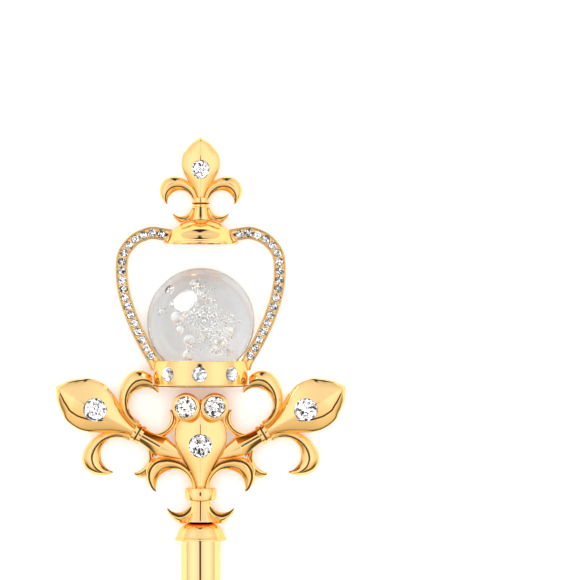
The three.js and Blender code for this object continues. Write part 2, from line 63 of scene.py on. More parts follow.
BIG_STONE, CUP_STONE, TOP_STONE, BAND_STONE = 3.2, 2.85, 2.53, 2.03
CROWN_H, PAVILION_H, TABLE_R = 0.30, 0.80, 0.56
BALL_H = BALL_R - BALL_FLAT
FERRULE_Y, FERRULE_H = 11.5, CAP_BAND_R - 0.15
TILT = math.asin((BALL_H - FERRULE_H) / (BALL_Y - FERRULE_Y))

lo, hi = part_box("crystal_ball")
STAFF = Matrix.Translation((0.0, (lo[1] + hi[1]) / 2 - 1e-3 * BALL_Y * math.cos(TILT),
                            1e-3 * (BALL_H - BALL_Y * math.sin(TILT)))) @ Matrix.Rotation(TILT, 4, "X")
STAFF_NP = np.array(STAFF)


def placed(v, m=None):
    """millimetres in the staff frame (or in a local frame m) to metres in the world"""
    v = np.asarray(v, float)
    if m is not None:
        v = v @ np.array(m)[:3, :3].T + np.array(m)[:3, 3]
    return (v * 1e-3) @ STAFF_NP[:3, :3].T + STAFF_NP[:3, 3]


def local(x, y, z, turn=0.0, tip=0.0):
    return (Matrix.Translation((x, y, z)) @ Matrix.Rotation(turn * RAD, 4, "Z")
            @ Matrix.Rotation(tip * RAD, 4, "Y"))


# ------------------------------------------------------------------ mesh helpers
def through(pairs, n):
    """smooth curve through a few [where, how much] pairs, n + 1 samples"""
    p = np.array(pairs, float)
    out = []
    for i in range(n + 1):
        t = i / n * (len(p) - 1)
        k = min(int(t), len(p) - 2)
        f = t - k
        p0, p1, p2, p3 = p[max(k - 1, 0)], p[k], p[k + 1], p[min(k + 2, len(p) - 1)]
        v0, v1 = (p2 - p0) / 2, (p3 - p1) / 2
        out.append((2 * p1 - 2 * p2 + v0 + v1) * f ** 3 + (-3 * p1 + 3 * p2 - 2 * v0 - v1) * f ** 2
                   + v0 * f + p1)
    return np.array(out)


def loft(sections):
    """closed skin over closed sections of equal count, both ends filled from their middle"""
    s = np.array(sections, float)
    m, n, _ = s.shape
    verts = s.reshape(-1, 3)
    faces = []
    for k in range(m - 1):
        a, b = k * n, (k + 1) * n
        for i in range(n):
            j = (i + 1) % n
            faces.append((a + i, a + j, b + j, b + i))
    verts = np.vstack([verts, s[0].mean(0), s[-1].mean(0)])
    c0, c1 = m * n, m * n + 1
    for i in range(n):
        j = (i + 1) % n
        faces.append((c0, j, i))
        faces.append((c1, (m - 1) * n + i, (m - 1) * n + j))
    return outward(verts, faces)


def turned(profile, segments, axis="y"):
    """profile of (radius, height) turned round an axis; radius 0 is a point on the axis"""
    verts, rows, faces = [], [], []
    for r, h in profile:
        if abs(r) < 1e-7:
            rows.append([len(verts)])
            verts.append((0.0, h, 0.0))
        else:
            rows.append(list(range(len(verts), len(verts) + segments)))
            for i in range(segments):
                a = 2 * math.pi * i / segments
                verts.append((r * math.sin(a), h, r * math.cos(a)))
    closed = abs(profile[0][0]) > 1e-7
    pairs = list(zip(rows, rows[1:] + ([rows[0]] if closed else [])))
    if not closed:
        pairs = pairs[:len(rows) - 1]
    for A, B in pairs:
        for i in range(segments):
            j = (i + 1) % segments
            if len(A) == 1 and len(B) == 1:
                break
            if len(A) == 1:
                faces.append((A[0], B[j], B[i]))
            elif len(B) == 1:
                faces.append((A[i], A[j], B[0]))
            else:
                faces.append((A[i], A[j], B[j], B[i]))
    v = np.array(verts, float)
    if axis == "z":                         # height runs out of the front
        v = np.stack([v[:, 0], -v[:, 2], v[:, 1]], 1)
    return outward(v, faces)


def volume(v, faces):
    t = 0.0
    for f in faces:
        for i in range(1, len(f) - 1):
            t += np.dot(v[f[0]], np.cross(v[f[i]], v[f[i + 1]]))
    return t


def outward(v, faces):
    v = np.asarray(v, float)
    if volume(v - v.mean(0), faces) < 0:
        faces = [tuple(reversed(f)) for f in faces]
    return v, faces


def joined(*parts):
    vs, fs, n = [], [], 0
    for v, f in parts:
        vs.append(v)
        fs += [tuple(i + n for i in q) for q in f]
        n += len(v)
    return np.vstack(vs), fs


def at(part, m):
    v, f = part
    m = np.array(m)
    v = v @ m[:3, :3].T + m[:3, 3]
    return outward(v, f)


def mesh_object(name, part, link=True):
    v, f = part
    me = bpy.data.meshes.new(name)
    me.from_pydata(placed(v).tolist(), [], f)
    me.update()
    ob = bpy.data.objects.new(name, me)
    if link:
        bpy.context.scene.collection.objects.link(ob)
    return ob


def boolean(ob, parts, operation):
    """join or cut closed parts one after another, with the result applied"""
    tools = []
    for part in parts:
        t = mesh_object("tool", part)
        tools.append(t)
        mod = ob.modifiers.new("b", "BOOLEAN")
        mod.operation, mod.object = operation, t
        mod.solver = "MANIFOLD" if "MANIFOLD" in [
            e.identifier for e in mod.bl_rna.properties["solver"].enum_items] else "EXACT"
    dg = bpy.context.evaluated_depsgraph_get()
    me = bpy.data.meshes.new_from_object(ob.evaluated_get(dg))
    ob.modifiers.clear()
    old = ob.data
    ob.data = me
    bpy.data.meshes.remove(old)
    for t in tools:
        m = t.data
        bpy.data.objects.remove(t)
        bpy.data.meshes.remove(m)
    return ob


def finish_piece(ob, name, material, nodes, crease=34.0, lines=()):
    ob.name = name
    me = ob.data
    bm = bmesh.new()
    bm.from_mesh(me)
    bmesh.ops.remove_doubles(bm, verts=bm.verts, dist=2e-7)
    bmesh.ops.dissolve_degenerate(bm, edges=bm.edges, dist=1e-7)
    bm.to_mesh(me)
    bm.free()
    me.materials.clear()
    me.materials.append(material)
    # painted shade: front-facing faces within a line's half width get the near-black gilt, painted shade along the
    # incised lines
    if lines:
        me.materials.append(gilt_painted_shade)
        p = np.vstack([q for q, _ in lines])
        hw = np.concatenate([q for _, q in lines])
        tree = KDTree(len(p))
        for i, q in enumerate(p):
            tree.insert((q[0], q[1], 0.0), i)
        tree.balance()
        inv = np.array(STAFF.inverted())
        n = len(me.polygons)
        c, nr = np.empty(n * 3), np.empty(n * 3)
        me.polygons.foreach_get("center", c)
        me.polygons.foreach_get("normal", nr)
        c = (c.reshape(-1, 3) @ inv[:3, :3].T + inv[:3, 3]) * 1e3
        nz = (nr.reshape(-1, 3) @ inv[:3, :3].T)[:, 2]
        kind = np.zeros(n, dtype=np.int32)
        for i in np.nonzero((nz > 0.2) & (c[:, 2] > -0.6))[0]:
            _, k, d = tree.find((c[i, 0], c[i, 1], 0.0))
            if d < hw[k] * 0.97:
                kind[i] = 1
        me.polygons.foreach_set("material_index", kind)
    me.polygons.foreach_set("use_smooth", [True] * len(me.polygons))
    me.set_sharp_from_angle(angle=crease * RAD)
    me.update()
    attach(ob, "root")
    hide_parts(*nodes)
    return ob


# ------------------------------------------------------------------ materials
class Tree:
    def __init__(self, name):
        self.m = bpy.data.materials.new(name)
        self.m.use_nodes = True
        self.t = self.m.node_tree
        self.bsdf = self.t.nodes["Principled BSDF"]

    def node(self, kind, **sets):
        n = self.t.nodes.new(kind)
        for k, v in sets.items():
            setattr(n, k, v)
        return n

    def link(self, a, b):
        self.t.links.new(a, b)


def gold(name, pale, rich, deep, rough, bump, grain, wave):
    """polished plating with painted light: the base colour is painted paler where the surface faces up and deeper
    orange on its flanks; hairline wear
    """
    T = Tree(name)
    tc = T.node("ShaderNodeTexCoord")
    # painted light: the world normal's Z picks pale, rich and deep gold, paler on tops facing up, deeper orange on
    # the flanks
    geo = T.node("ShaderNodeNewGeometry")
    sep = T.node("ShaderNodeSeparateXYZ")
    T.link(geo.outputs["Normal"], sep.inputs[0])
    ramp = T.node("ShaderNodeValToRGB")
    e = ramp.color_ramp.elements
    e[0].position, e[0].color = 0.0, (*deep, 1)
    e[1].position, e[1].color = 1.0, (*pale, 1)
    mid = ramp.color_ramp.elements.new(0.55)
    mid.color = (*rich, 1)
    ramp.color_ramp.interpolation = "EASE"
    up = T.node("ShaderNodeMapRange")
    up.inputs["From Min"].default_value = -0.05
    up.inputs["From Max"].default_value = 0.97
    T.link(sep.outputs["Z"], up.inputs["Value"])
    tone = T.node("ShaderNodeTexNoise")
    tone.inputs["Scale"].default_value = 90.0
    tone.inputs["Detail"].default_value = 3.0
    T.link(tc.outputs["Object"], tone.inputs["Vector"])
    wander = T.node("ShaderNodeMath", operation="MULTIPLY_ADD")
    wander.inputs[1].default_value = 0.10
    T.link(tone.outputs["Fac"], wander.inputs[0])
    shift = T.node("ShaderNodeMath", operation="SUBTRACT")
    shift.inputs[1].default_value = 0.05
    T.link(up.outputs["Result"], shift.inputs[0])
    T.link(shift.outputs[0], wander.inputs[2])
    T.link(wander.outputs[0], ramp.inputs["Fac"])
    T.link(ramp.outputs["Color"], T.bsdf.inputs["Base Color"])
    haze = T.node("ShaderNodeTexNoise")
    haze.inputs["Scale"].default_value = grain
    haze.inputs["Detail"].default_value = 5.0
    haze.inputs["Roughness"].default_value = 0.6
    T.link(tc.outputs["Object"], haze.inputs["Vector"])
    r = T.node("ShaderNodeMapRange")
    r.inputs["From Min"].default_value = 0.3
    r.inputs["From Max"].default_value = 0.75
    r.inputs["To Min"].default_value = rough[0]
    r.inputs["To Max"].default_value = rough[1]
    T.link(haze.outputs["Fac"], r.inputs["Value"])
    T.link(r.outputs["Result"], T.bsdf.inputs["Roughness"])
    b = T.node("ShaderNodeBump")
    b.inputs["Strength"].default_value = bump
    b.inputs["Distance"].default_value = 0.0001
    T.link(haze.outputs["Fac"], b.inputs["Height"])
    swell = T.node("ShaderNodeTexNoise")           # slow unevenness left by the buffing wheel
    swell.inputs["Scale"].default_value = 150.0
    swell.inputs["Detail"].default_value = 0.0
    T.link(tc.outputs["Object"], swell.inputs["Vector"])
    w = T.node("ShaderNodeBump")
    w.inputs["Strength"].default_value = wave
    w.inputs["Distance"].default_value = 0.0003
    T.link(swell.outputs["Fac"], w.inputs["Height"])
    T.link(b.outputs["Normal"], w.inputs["Normal"])
    T.link(w.outputs["Normal"], T.bsdf.inputs["Normal"])
    T.bsdf.inputs["Metallic"].default_value = 1.0
    T.bsdf.inputs["Specular Tint"].default_value = (1.0, 0.90, 0.72, 1)
    T.bsdf.inputs["Coat Weight"].default_value = 0.35
    T.bsdf.inputs["Coat Roughness"].default_value = 0.08
    return T.m


# all three gilts carry the painted light of gold(): paler on tops facing up, deeper on the flanks
gold_cast = gold("polished gilt casting", (1.0, 0.70, 0.31), (0.99, 0.585, 0.17), (0.96, 0.45, 0.07),
                 (0.05, 0.11), 0.03, 420.0, 0.22)
# near-black gilt for the painted shade along the incised lines and the painted shadow under the band's lip
gilt_painted_shade = gold("painted shade along lines in the gilt", (0.17, 0.085, 0.018), (0.13, 0.06, 0.012), (0.09, 0.04, 0.008),
                 (0.22, 0.38), 0.05, 700.0, 0.1)
gilt_painted_shade.node_tree.nodes["Principled BSDF"].inputs["Coat Weight"].default_value = 0.12
gold_tube = gold("bright gilt tube", (0.98, 0.74, 0.37), (0.97, 0.64, 0.24), (0.93, 0.58, 0.20),
                 (0.04, 0.08), 0.01, 300.0, 0.03)


def glass(name, tint, ior, edge=None):
    T = Tree(name)
    tc = T.node("ShaderNodeTexCoord")
    n = T.node("ShaderNodeTexNoise")
    n.inputs["Scale"].default_value = 120.0
    n.inputs["Detail"].default_value = 2.0
    T.link(tc.outputs["Object"], n.inputs["Vector"])
    r = T.node("ShaderNodeMapRange")
    r.inputs["To Min"].default_value = 0.0
    r.inputs["To Max"].default_value = 0.012
    T.link(n.outputs["Fac"], r.inputs["Value"])
    T.link(r.outputs["Result"], T.bsdf.inputs["Roughness"])
    # edge: base colour painted darker toward the grazing outline, a painted dark reflection in rings round the rim
    if edge:
        face = T.node("ShaderNodeLayerWeight")
        face.inputs["Blend"].default_value = 0.5
        ramp = T.node("ShaderNodeValToRGB")
        el = ramp.color_ramp.elements
        el[0].position, el[0].color = 0.0, (*tint, 1)
        el[1].position, el[1].color = 1.0, (*[q * edge[-1][1] for q in tint], 1)
        for where, much in edge[:-1]:
            q = el.new(where)
            q.color = (*[c * much for c in tint], 1)
        T.link(face.outputs["Facing"], ramp.inputs["Fac"])
        T.link(ramp.outputs["Color"], T.bsdf.inputs["Base Color"])
    else:
        T.bsdf.inputs["Base Color"].default_value = (*tint, 1)
    T.bsdf.inputs["Transmission Weight"].default_value = 1.0
    T.bsdf.inputs["IOR"].default_value = ior
    return T.m


def stone_crown():
    T = Tree("rhinestone crown")
    tc = T.node("ShaderNodeTexCoord")
    n = T.node("ShaderNodeTexNoise")
    n.inputs["Scale"].default_value = 700.0
    T.link(tc.outputs["Object"], n.inputs["Vector"])
    r = T.node("ShaderNodeMapRange")
    r.inputs["To Min"].default_value = 0.0
    r.inputs["To Max"].default_value = 0.03
    T.link(n.outputs["Fac"], r.inputs["Value"])
    T.link(r.outputs["Result"], T.bsdf.inputs["Roughness"])
    T.bsdf.inputs["Base Color"].default_value = (0.97, 0.98, 1.0, 1)
    T.bsdf.inputs["Transmission Weight"].default_value = 1.0
    T.bsdf.inputs["IOR"].default_value = 1.62
    return T.m


def foil_painted_reflection(name, dim, bright):
    """one tone of the pavilion's foil, a painted reflection: its bright, grey and dark copies stand for light and
    dark reflections, a little uneven from stone to stone
    """
    T = Tree(name)
    tc = T.node("ShaderNodeTexCoord")
    v = T.node("ShaderNodeTexNoise")
    v.inputs["Scale"].default_value = 900.0
    T.link(tc.outputs["Object"], v.inputs["Vector"])
    ramp = T.node("ShaderNodeValToRGB")
    e = ramp.color_ramp.elements
    e[0].position, e[0].color = 0.35, (*dim, 1)
    e[1].position, e[1].color = 0.65, (*bright, 1)
    T.link(v.outputs["Fac"], ramp.inputs["Fac"])
    T.link(ramp.outputs["Color"], T.bsdf.inputs["Base Color"])
    T.bsdf.inputs["Metallic"].default_value = 1.0
    T.bsdf.inputs["Roughness"].default_value = 0.22
    return T.m


# bubble glass with a painted dark reflection at its rim, from the edge ramp
ball_glass = glass("bubble glass", (0.985, 0.99, 0.992), 1.5,
                   [(0.36, 1.0), (0.47, 0.93), (0.56, 1.0), (0.72, 1.0), (0.78, 0.25), (0.88, 0.12), (1.0, 0.3)])
bubble_wall = glass("bubble walls", (0.80, 0.815, 0.83), 1.22)
bubble_wall.node_tree.nodes["Principled BSDF"].inputs["Transmission Weight"].default_value = 0.6
crown_glass = stone_crown()
# bright, grey and dark copies of one foil: painted light and dark reflections on the pavilion
FOILS = [foil_painted_reflection("foil, painted bright reflection", (0.93, 0.94, 0.96), (1.0, 1.0, 1.0)),
         foil_painted_reflection("foil, painted grey reflection", (0.30, 0.31, 0.33), (0.55, 0.56, 0.58)),
         foil_painted_reflection("foil, painted dark reflection", (0.012, 0.012, 0.014), (0.05, 0.05, 0.055))]

# ------------------------------------------------------------------ fleur-de-lis
BUD_SHAPE = [[0, 0.03], [0.035, 0.2], [0.077, 0.415], [0.13, 0.59], [0.186, 0.74],
             [0.248, 0.9], [0.318, 0.975], [0.4, 1.0], [0.47, 0.975], [0.548, 0.885],
             [0.647, 0.7], [0.79, 0.42], [0.92, 0.235], [1.0, 0.215]]
PETAL_SHAPE = [[-98, 0.40], [-74, 0.36], [-53, 0.37], [-34, 0.44], [-16, 0.56], [2, 0.70],
               [20, 0.87], [38, 1.0], [54, 0.93], [68, 0.73], [80, 0.50], [92, 0.29], [101, 0.13],
               [105, 0.05]]
CURL_SHAPE = [[-78, 0.30], [-55, 0.70], [-30, 0.97], [-13, 1.0], [3, 0.82], [18, 0.53],
              [34, 0.34], [46, 0.20], [51, 0.07]]
SIDE_CURL_SHAPE = [[-72, 0.46], [-48, 0.54], [-28, 0.67], [-6, 0.84], [16, 1.0], [31, 0.92],
                   [42, 0.72], [49, 0.44], [52, 0.16]]
SMALL_PETAL_SHAPE = [[-95, 0.42], [-66, 0.46], [-44, 0.56], [-23, 0.68], [-9, 0.78], [10, 0.93],
                     [26, 1.0], [39, 0.96], [52, 0.84], [65, 0.66], [76, 0.45], [88, 0.22],
                     [97, 0.07]]
SMALL_CURL_SHAPE = [[-78, 0.34], [-55, 0.72], [-30, 0.97], [-13, 1.0], [2, 0.82], [15, 0.55],
                    [28, 0.38], [38, 0.22], [42, 0.08]]

LARGE = dict(
    length=26.25, halfWidth=7.2, ridge=3.3, back=1.3,
    petal=dict(y=1.95, x=7.93, bore=4.81, width=5.25, rise=2.1, sink=1.0, shape=PETAL_SHAPE,
               crest=0.5, lines=((0.20, 0.66, 0.25, 0.0, 0.78), (0.06, 0.16, 0.12, 0.50, 0.98))),
    curl=dict(y=-1.53, x=6.26, bore=4.7, width=2.34, rise=1.6, sink=0.9, shape=SIDE_CURL_SHAPE,
              crest=0.5, lines=((0.30, 0.42, 0.2, 0.1, 0.97),)),
    collar=dict(rx=2.7, rz=2.9, low=-1.4, high=1.4, groove=0.0, z=0.0),
    stem=dict(top=2.1, foot=3.15, low=-7.5, facet=0.5, facetFoot=0.6, z=2.3, zFoot=2.6, c=0.0, line=True))
SMALL = dict(
    length=18.1, halfWidth=5.4, ridge=2.6, back=1.1,
    petal=dict(y=-0.1, x=5.8, bore=3.42, width=4.32, rise=1.7, sink=0.8, shape=SMALL_PETAL_SHAPE,
               crest=0.55, lines=((0.26, 0.36, 0.19, 0.02, 0.96),)),
    curl=dict(y=-0.7, x=5.6, bore=3.12, width=2.3, rise=1.2, sink=0.7, shape=SMALL_CURL_SHAPE,
              crest=0.5, lines=((0.40, 0.30, 0.15, 0.15, 0.95),)),
    collar=dict(rx=2.37, rz=2.5, low=-1.32, high=1.32, groove=-0.35, z=0.0),
    stem=dict(top=1.85, foot=3.3, low=-5.9, facet=0.97, facetFoot=1.4, z=1.9, zFoot=2.2, c=0.0, line=False))
FRONT = dict(LARGE)
FRONT["petal"] = dict(LARGE["petal"], x=7.6, width=4.75, crest=0.55,
                      lines=((0.88, 0.60, 0.31, 0.16, 1.0),))
FRONT["curl"] = dict(y=-1.53, x=6.32, bore=3.6, width=3.2, rise=1.6, sink=0.9, shape=CURL_SHAPE,
                     crest=0.5, lines=((0.30, 0.26, 0.36, 0.06, 0.98),))
FRONT["collar"] = dict(rx=4.38, rz=4.0, low=-1.73, high=1.75, groove=None, z=-0.7)
FRONT["stem"] = dict(LARGE["stem"], top=2.6, foot=4.6, low=-7.6, facet=1.5, facetFoot=2.2, z=2.6,
                     zFoot=3.4, c=-0.9)
EDGE = 0.27


def slope(t):
    return (1 - t) * (1 + 0.5 * t)


def rim(t):
    """rolls the casting over to a round outline in its last few per cent"""
    return math.sqrt(max(0.0, 1 - min(1.0, abs(t)) ** 16))


def soft(t, d):
    return (math.sqrt(t * t + d * d) - d) / (math.sqrt(1 + d * d) - d)


def spread(n, ends=0.985):
    """-1 .. 1 with points crowded at both ends and in the middle"""
    h = []
    for i in range(n + 1):
        u = i / n
        h.append(0.5 * (1 - math.cos(math.pi * u)))     # 0..1 crowded at 0 and 1
    h = np.array(h)
    return np.concatenate([-h[::-1], h[1:]])


def fall(t, flats):
    """share of the height left at each t (0 ridge .. 1 rim) of a face whose slope steepens outward,
    with the slope eased to nothing over the flats (place, half width, strength)"""
    fine = np.linspace(0, 1, 400)
    g = 0.5 + fine
    for place, half, strength in flats:
        if strength > 0 and half > 0:
            k = np.clip((np.abs(fine - place) - half) / max(half * 0.8, 0.004), 0, 1)
            g = g * (1 - strength * (1 - k * k * (3 - 2 * k)))
    c = np.concatenate([[0], np.cumsum((g[1:] + g[:-1]) / 2)])
    return 1 - np.interp(t, fine, c / c[-1])


CREASE = [[0.06, 0.30], [0.15, 0.50], [0.25, 0.57], [0.36, 0.55], [0.48, 0.46], [0.58, 0.34], [0.68, 0.22]]


def bud(f, crease=0, steps=110, n=20):
    """crease: which side (-1 or 1) carries the second, curved crease on its face"""
    back_n = np.linspace(1, -1, 15)[1:-1]
    pts = through(BUD_SHAPE, steps)
    line = np.array(CREASE)
    log = ([], [])
    out = []
    for share, wide in pts:
        w = max(0.05, f["halfWidth"] * wide)
        y = f["length"] * (1 - share)
        full = min(1.0, max(0.004, wide)) ** 0.7
        e = min(EDGE, w * 0.6)
        top = max(0.30 + (f["ridge"] - 0.30) * full, e)
        back = max(0.26 + (f["back"] - 0.26) * full, e)
        if wide < 0.2:
            k = wide / 0.2
            top, back, e = top * (0.35 + 0.65 * k), back * (0.35 + 0.65 * k), e * (0.35 + 0.65 * k)
        ridge = min(0.085 / w, 0.35)
        halves = []
        for side in (-1, 1):
            flats = [(0.0, ridge, 1.0)]
            if side == crease:
                at_t = float(np.interp(share, line[:, 0], line[:, 1]))
                strong = float(np.interp(share, [0.05, 0.14, 0.5, 0.68], [0, 1, 0.9, 0]))
                cut = 0.26 / max(w, 1.2)
                if strong > 0.3:
                    log[0].append((side * at_t * w, y, 0.0))
                    log[1].append(cut * w * (0.45 + 0.55 * strong))
                t = np.concatenate([[0, ridge * 0.5, ridge, ridge * 1.6],
                                    np.linspace(ridge * 2, at_t - 1.7 * cut, n + 2)[:-1],
                                    at_t + cut * np.array([-1.6, -1.05, -0.92, -0.5, -0.1, 0, 0.1, 0.5, 0.92, 1.05, 1.6]),
                                    np.linspace(at_t + 1.7 * cut, 0.94, n + 2)[1:],
                                    1 - 0.06 * (1 - np.linspace(0, 1, 7)) ** 2])
                t = np.maximum.accumulate(np.clip(t, 0, 1))
            else:
                t = np.unique(np.round(np.concatenate([
                    [0, ridge * 0.5, ridge, ridge * 1.6], np.linspace(ridge * 2, 0.94, n),
                    1 - 0.06 * (1 - np.linspace(0, 1, 7)) ** 2]), 7))
            h = fall(t, flats)
            dip = np.zeros(len(t))
            if side == crease:
                dip = 0.22 * strong * np.clip(1 - np.abs(t - at_t) / cut, 0, 1)
            halves.append([(side * tt * w, y, e * rim(tt) + (top - e) * hh - dd) for tt, hh, dd in zip(t, h, dip)])
        row = halves[0][::-1] + halves[1][1:]
        row += [(t * w, y, -(e * rim(t) + (back - e) * (1 - t * t))) for t in back_n]
        out.append(row)
    if len(log[0]) > 2:
        LINES.append((np.array(log[0]), np.array(log[1])))
    return loft(out)


# the faces along these lines are painted dark in finish_piece: painted shade in the grooves
LINES = []          # incised lines of the casting being made: (points along the line, half widths)


def hook(h, place, steps=110):
    """a curved leaf with a soft crest and incised lines: (where across at root, at tip, half width)"""
    crest = h.get("crest", 0.52)
    lines = h.get("lines", ())
    qb = np.linspace(1, 0, 11)[1:-1]
    edge = 0.07 * (1 - np.linspace(0, 1, 6)) ** 2
    pts = through(h["shape"], steps)
    logs = [([], []) for _ in lines]
    out = []
    for i, (deg, share) in enumerate(pts):
        along = i / steps
        a = deg * RAD
        share = max(share, 0.03)
        w = h["width"] * share
        full = min(1.0, share) ** 0.75
        rise = EDGE + (h["rise"] - EDGE) * full
        sink = EDGE + (h["sink"] - EDGE) * full
        lim = min(1.0, w / 1.1)
        rise, sink, e = rise * lim, sink * lim, EDGE * lim
        ridge = min(0.06 / w, 0.1)
        qs = [crest * (1 - np.concatenate([np.linspace(0.12, 0.93, 10), 1 - edge])),
              crest + (1 - crest) * np.concatenate([np.linspace(0.12, 0.93, 10), 1 - edge]),
              crest + np.array([-1.5, -1, 0, 1, 1.5]) * ridge]
        cuts = []
        for k, (q0, q1, half, start, stop) in enumerate(lines):
            at_q = q0 + (q1 - q0) * along
            fade = float(np.interp(along, [0, start, start + 0.1, stop - 0.1, stop, 1], [0, 0, 1, 1, 0, 0]))
            hw = max(half * (0.35 + 0.65 * fade) * lim / w, 0.004)
            hw = min(hw, 0.8 * min(at_q, 1 - at_q))
            cuts.append((at_q, hw, fade * min(0.85 * half, 0.4 * rise)))
            qs.append(at_q + hw * np.array([-1.5, -1.04, -0.9, -0.45, 0, 0.45, 0.9, 1.04, 1.5]))
            if fade > 0.3:
                logs[k][0].append(place(h["bore"] + w * at_q, a, 0.0))
                logs[k][1].append(hw * w)
        q = np.sort(np.clip(np.concatenate(qs), 0.0, 1.0))
        t = np.where(q < crest, (crest - q) / crest, (q - crest) / (1 - crest))
        hh = fall(t, [(0.0, ridge / crest, 1.0)])
        z = np.array([e * rim(x) for x in t]) + (rise - e) * hh
        for at_q, hw, deep in cuts:
            z = z - deep * np.clip(1 - np.abs(q - at_q) / hw, 0, 1)
        row = [place(h["bore"] + w * x, a, y) for x, y in zip(q, z)]
        for x in qb:
            u = 2 * x - 1
            row.append(place(h["bore"] + w * x, a, -(e * rim(u) + (sink - e) * (1 - u * u))))
        out.append(row)
    for p, hw in logs:
        if len(p) > 2:
            LINES.append((np.array(p), np.array(hw)))
    return loft(out)


def petal(f, side):
    p = f["petal"]
    return hook(p, lambda r, a, z: (side * (p["x"] + r * math.sin(a)), p["y"] + r * math.cos(a), z))


def curl(f, side):
    p = f["curl"]
    return hook(p, lambda r, a, z: (side * (p["x"] + r * math.sin(a)), p["y"] - r * math.cos(a), z),
                steps=80)


def rounded(profile, r, n=4):
    """rounds every corner of a (radius, height) profile that isn't on the axis"""
    p = [np.array(q, float) for q in profile]
    out = [p[0]]
    for i in range(1, len(p) - 1):
        a, b, c = p[i - 1], p[i], p[i + 1]
        u, v = a - b, c - b
        lu, lv = np.linalg.norm(u), np.linalg.norm(v)
        cosang = np.dot(u, v) / (lu * lv)
        if cosang < -0.995 or b[0] < 1e-6:
            out.append(b)
            continue
        k = min(r, 0.42 * lu, 0.42 * lv)
        s, e = b + u / lu * k, b + v / lv * k
        for j in range(n + 1):
            t = j / n
            out.append((1 - t) ** 2 * s + 2 * t * (1 - t) * b + t * t * e)
    out.append(p[-1])
    return [(max(0.0, q[0]), q[1]) for q in out]


def barrel(r, low, high, bulge, n=10):
    """slightly swelling wall of a turned band, with rolled edges"""
    mid, half = (low + high) / 2, (high - low) / 2
    return [(r - bulge * ((h - mid) / half) ** 2, h) for h in np.linspace(low, high, n)]


def collar(c, segments=96):
    d, r = 0.2, c["rx"]
    if c["groove"] is not None:
        LINES.append((np.array([(x, c["groove"], 0) for x in np.linspace(-r, r, 40)]), np.full(40, d * 0.85)))
    if c["groove"] is None:
        prof = ([(0, c["low"]), (r - 0.42, c["low"])] + barrel(r, c["low"] + 0.16, c["high"] - 0.16, 0.26, 14)
                + [(r - 0.42, c["high"]), (0, c["high"])])
    else:
        g = c["groove"]
        prof = ([(0, c["low"]), (r - 0.22, c["low"])] + barrel(r, c["low"] + 0.1, g - d - 0.05, 0.03)
                + [(r - 0.42, g - d * 0.8), (r - 0.42, g + d * 0.8)]
                + barrel(r, g + d + 0.05, c["high"] - 0.1, 0.03) + [(r - 0.22, c["high"]), (0, c["high"])])
    v, f = turned(rounded(prof, 0.08), segments)
    v[:, 2] = v[:, 2] * c["rz"] / c["rx"] + c["z"]
    return v, f


def stem(f, rows=36):
    s, top = f["stem"], f["collar"]["low"] + 0.4
    out, line = [], []
    for i in range(rows + 1):
        t = i / rows
        flare = t * t
        w = s["top"] + (s["foot"] - s["top"]) * flare
        q = s["facet"] + (s["facetFoot"] - s["facet"]) * flare
        z = s["z"] + (s["zFoot"] - s["z"]) * flare
        y = top + (s["low"] - top) * t
        c = s["c"] * (1 - t)
        corner = [(-w, -z * 0.4), (-w, z * 0.4), (-q, z), (q, z), (w, z * 0.4), (w, -z * 0.4),
                  (q, -z), (-q, -z)]
        row = []
        for k in range(8):                     # corners rolled over, facets a little full
            a, b, d = (np.array(corner[(k + o) % 8]) for o in (-1, 0, 1))
            lu, lv = np.linalg.norm(a - b), np.linalg.norm(d - b)
            r = 0.46 * min(lu, lv, 2.4) if not s["line"] else 0.28 * min(lu, lv)
            p, e = b + (a - b) / lu * r, b + (d - b) / lv * r
            if k == 3 and s["line"]:           # incised line down the middle of the front
                deep = 0.17 * min(1.0, 8 * t, 8 * (1 - t))
                mid = (np.array(corner[2]) + b) / 2
                for dx, dz in ((-0.2, 0.0), (-0.17, 0.05), (0.0, 1.0), (0.17, 0.05), (0.2, 0.0)):
                    row.append((mid[0] + dx, y, mid[1] + c - deep * dz))
                line.append((mid[0], y, 0.0))
            for j in range(5):
                u = j / 4
                m = (1 - u) ** 2 * p + 2 * u * (1 - u) * b + u * u * e
                row.append((m[0], y, m[1] + c))
        out.append(row)
    if line:
        LINES.append((np.array(line[3:-3]), np.full(len(line) - 6, 0.19)))
    return loft(out)


def root(side):
    out = []
    for y, w, z, bend in through4([(-7.2, 3.1, 1.9, 0), (-11.0, 2.0, 1.6, 0.25), (-14.2, 1.35, 1.25, 0.8),
                                   (-17.4, 1.15, 1.1, 1.6)], 30):
        row = []
        for k in range(36):
            a = 2 * math.pi * k / 36
            c, s = math.cos(a), math.sin(a)
            row.append((w * abs(c) ** 0.8 * np.sign(c) - side * bend, y, z * abs(s) ** 0.8 * np.sign(s)))
        out.append(row)
    return loft(out)


def through4(rows, n):
    p = np.array(rows, float)
    cols = [through(np.stack([p[:, 0], p[:, k]], 1), n) for k in range(1, p.shape[1])]
    return [(cols[0][i][0], *[c[i][1] for c in cols]) for i in range(n + 1)]


def fleur(f, crease=0):
    return [bud(f, crease), petal(f, -1), petal(f, 1), curl(f, -1), curl(f, 1), collar(f["collar"]), stem(f)]


def pocket(r, reach, segments=64):
    return turned([(0, -r * PAVILION_H - 0.16), (r + GAP, -0.12), (r + GAP, reach), (0, reach)],
                  segments, "z")


# ------------------------------------------------------------------ turned forms
def arc(r, y0, a0, a1, n):
    return [(r * math.cos((a0 + (a1 - a0) * i / n) * RAD), y0 + r * math.sin((a0 + (a1 - a0) * i / n) * RAD))
            for i in range(n + 1)]


def smooth_profile(points, n):
    return [(max(0.0, a), b) for a, b in through(points, n)]


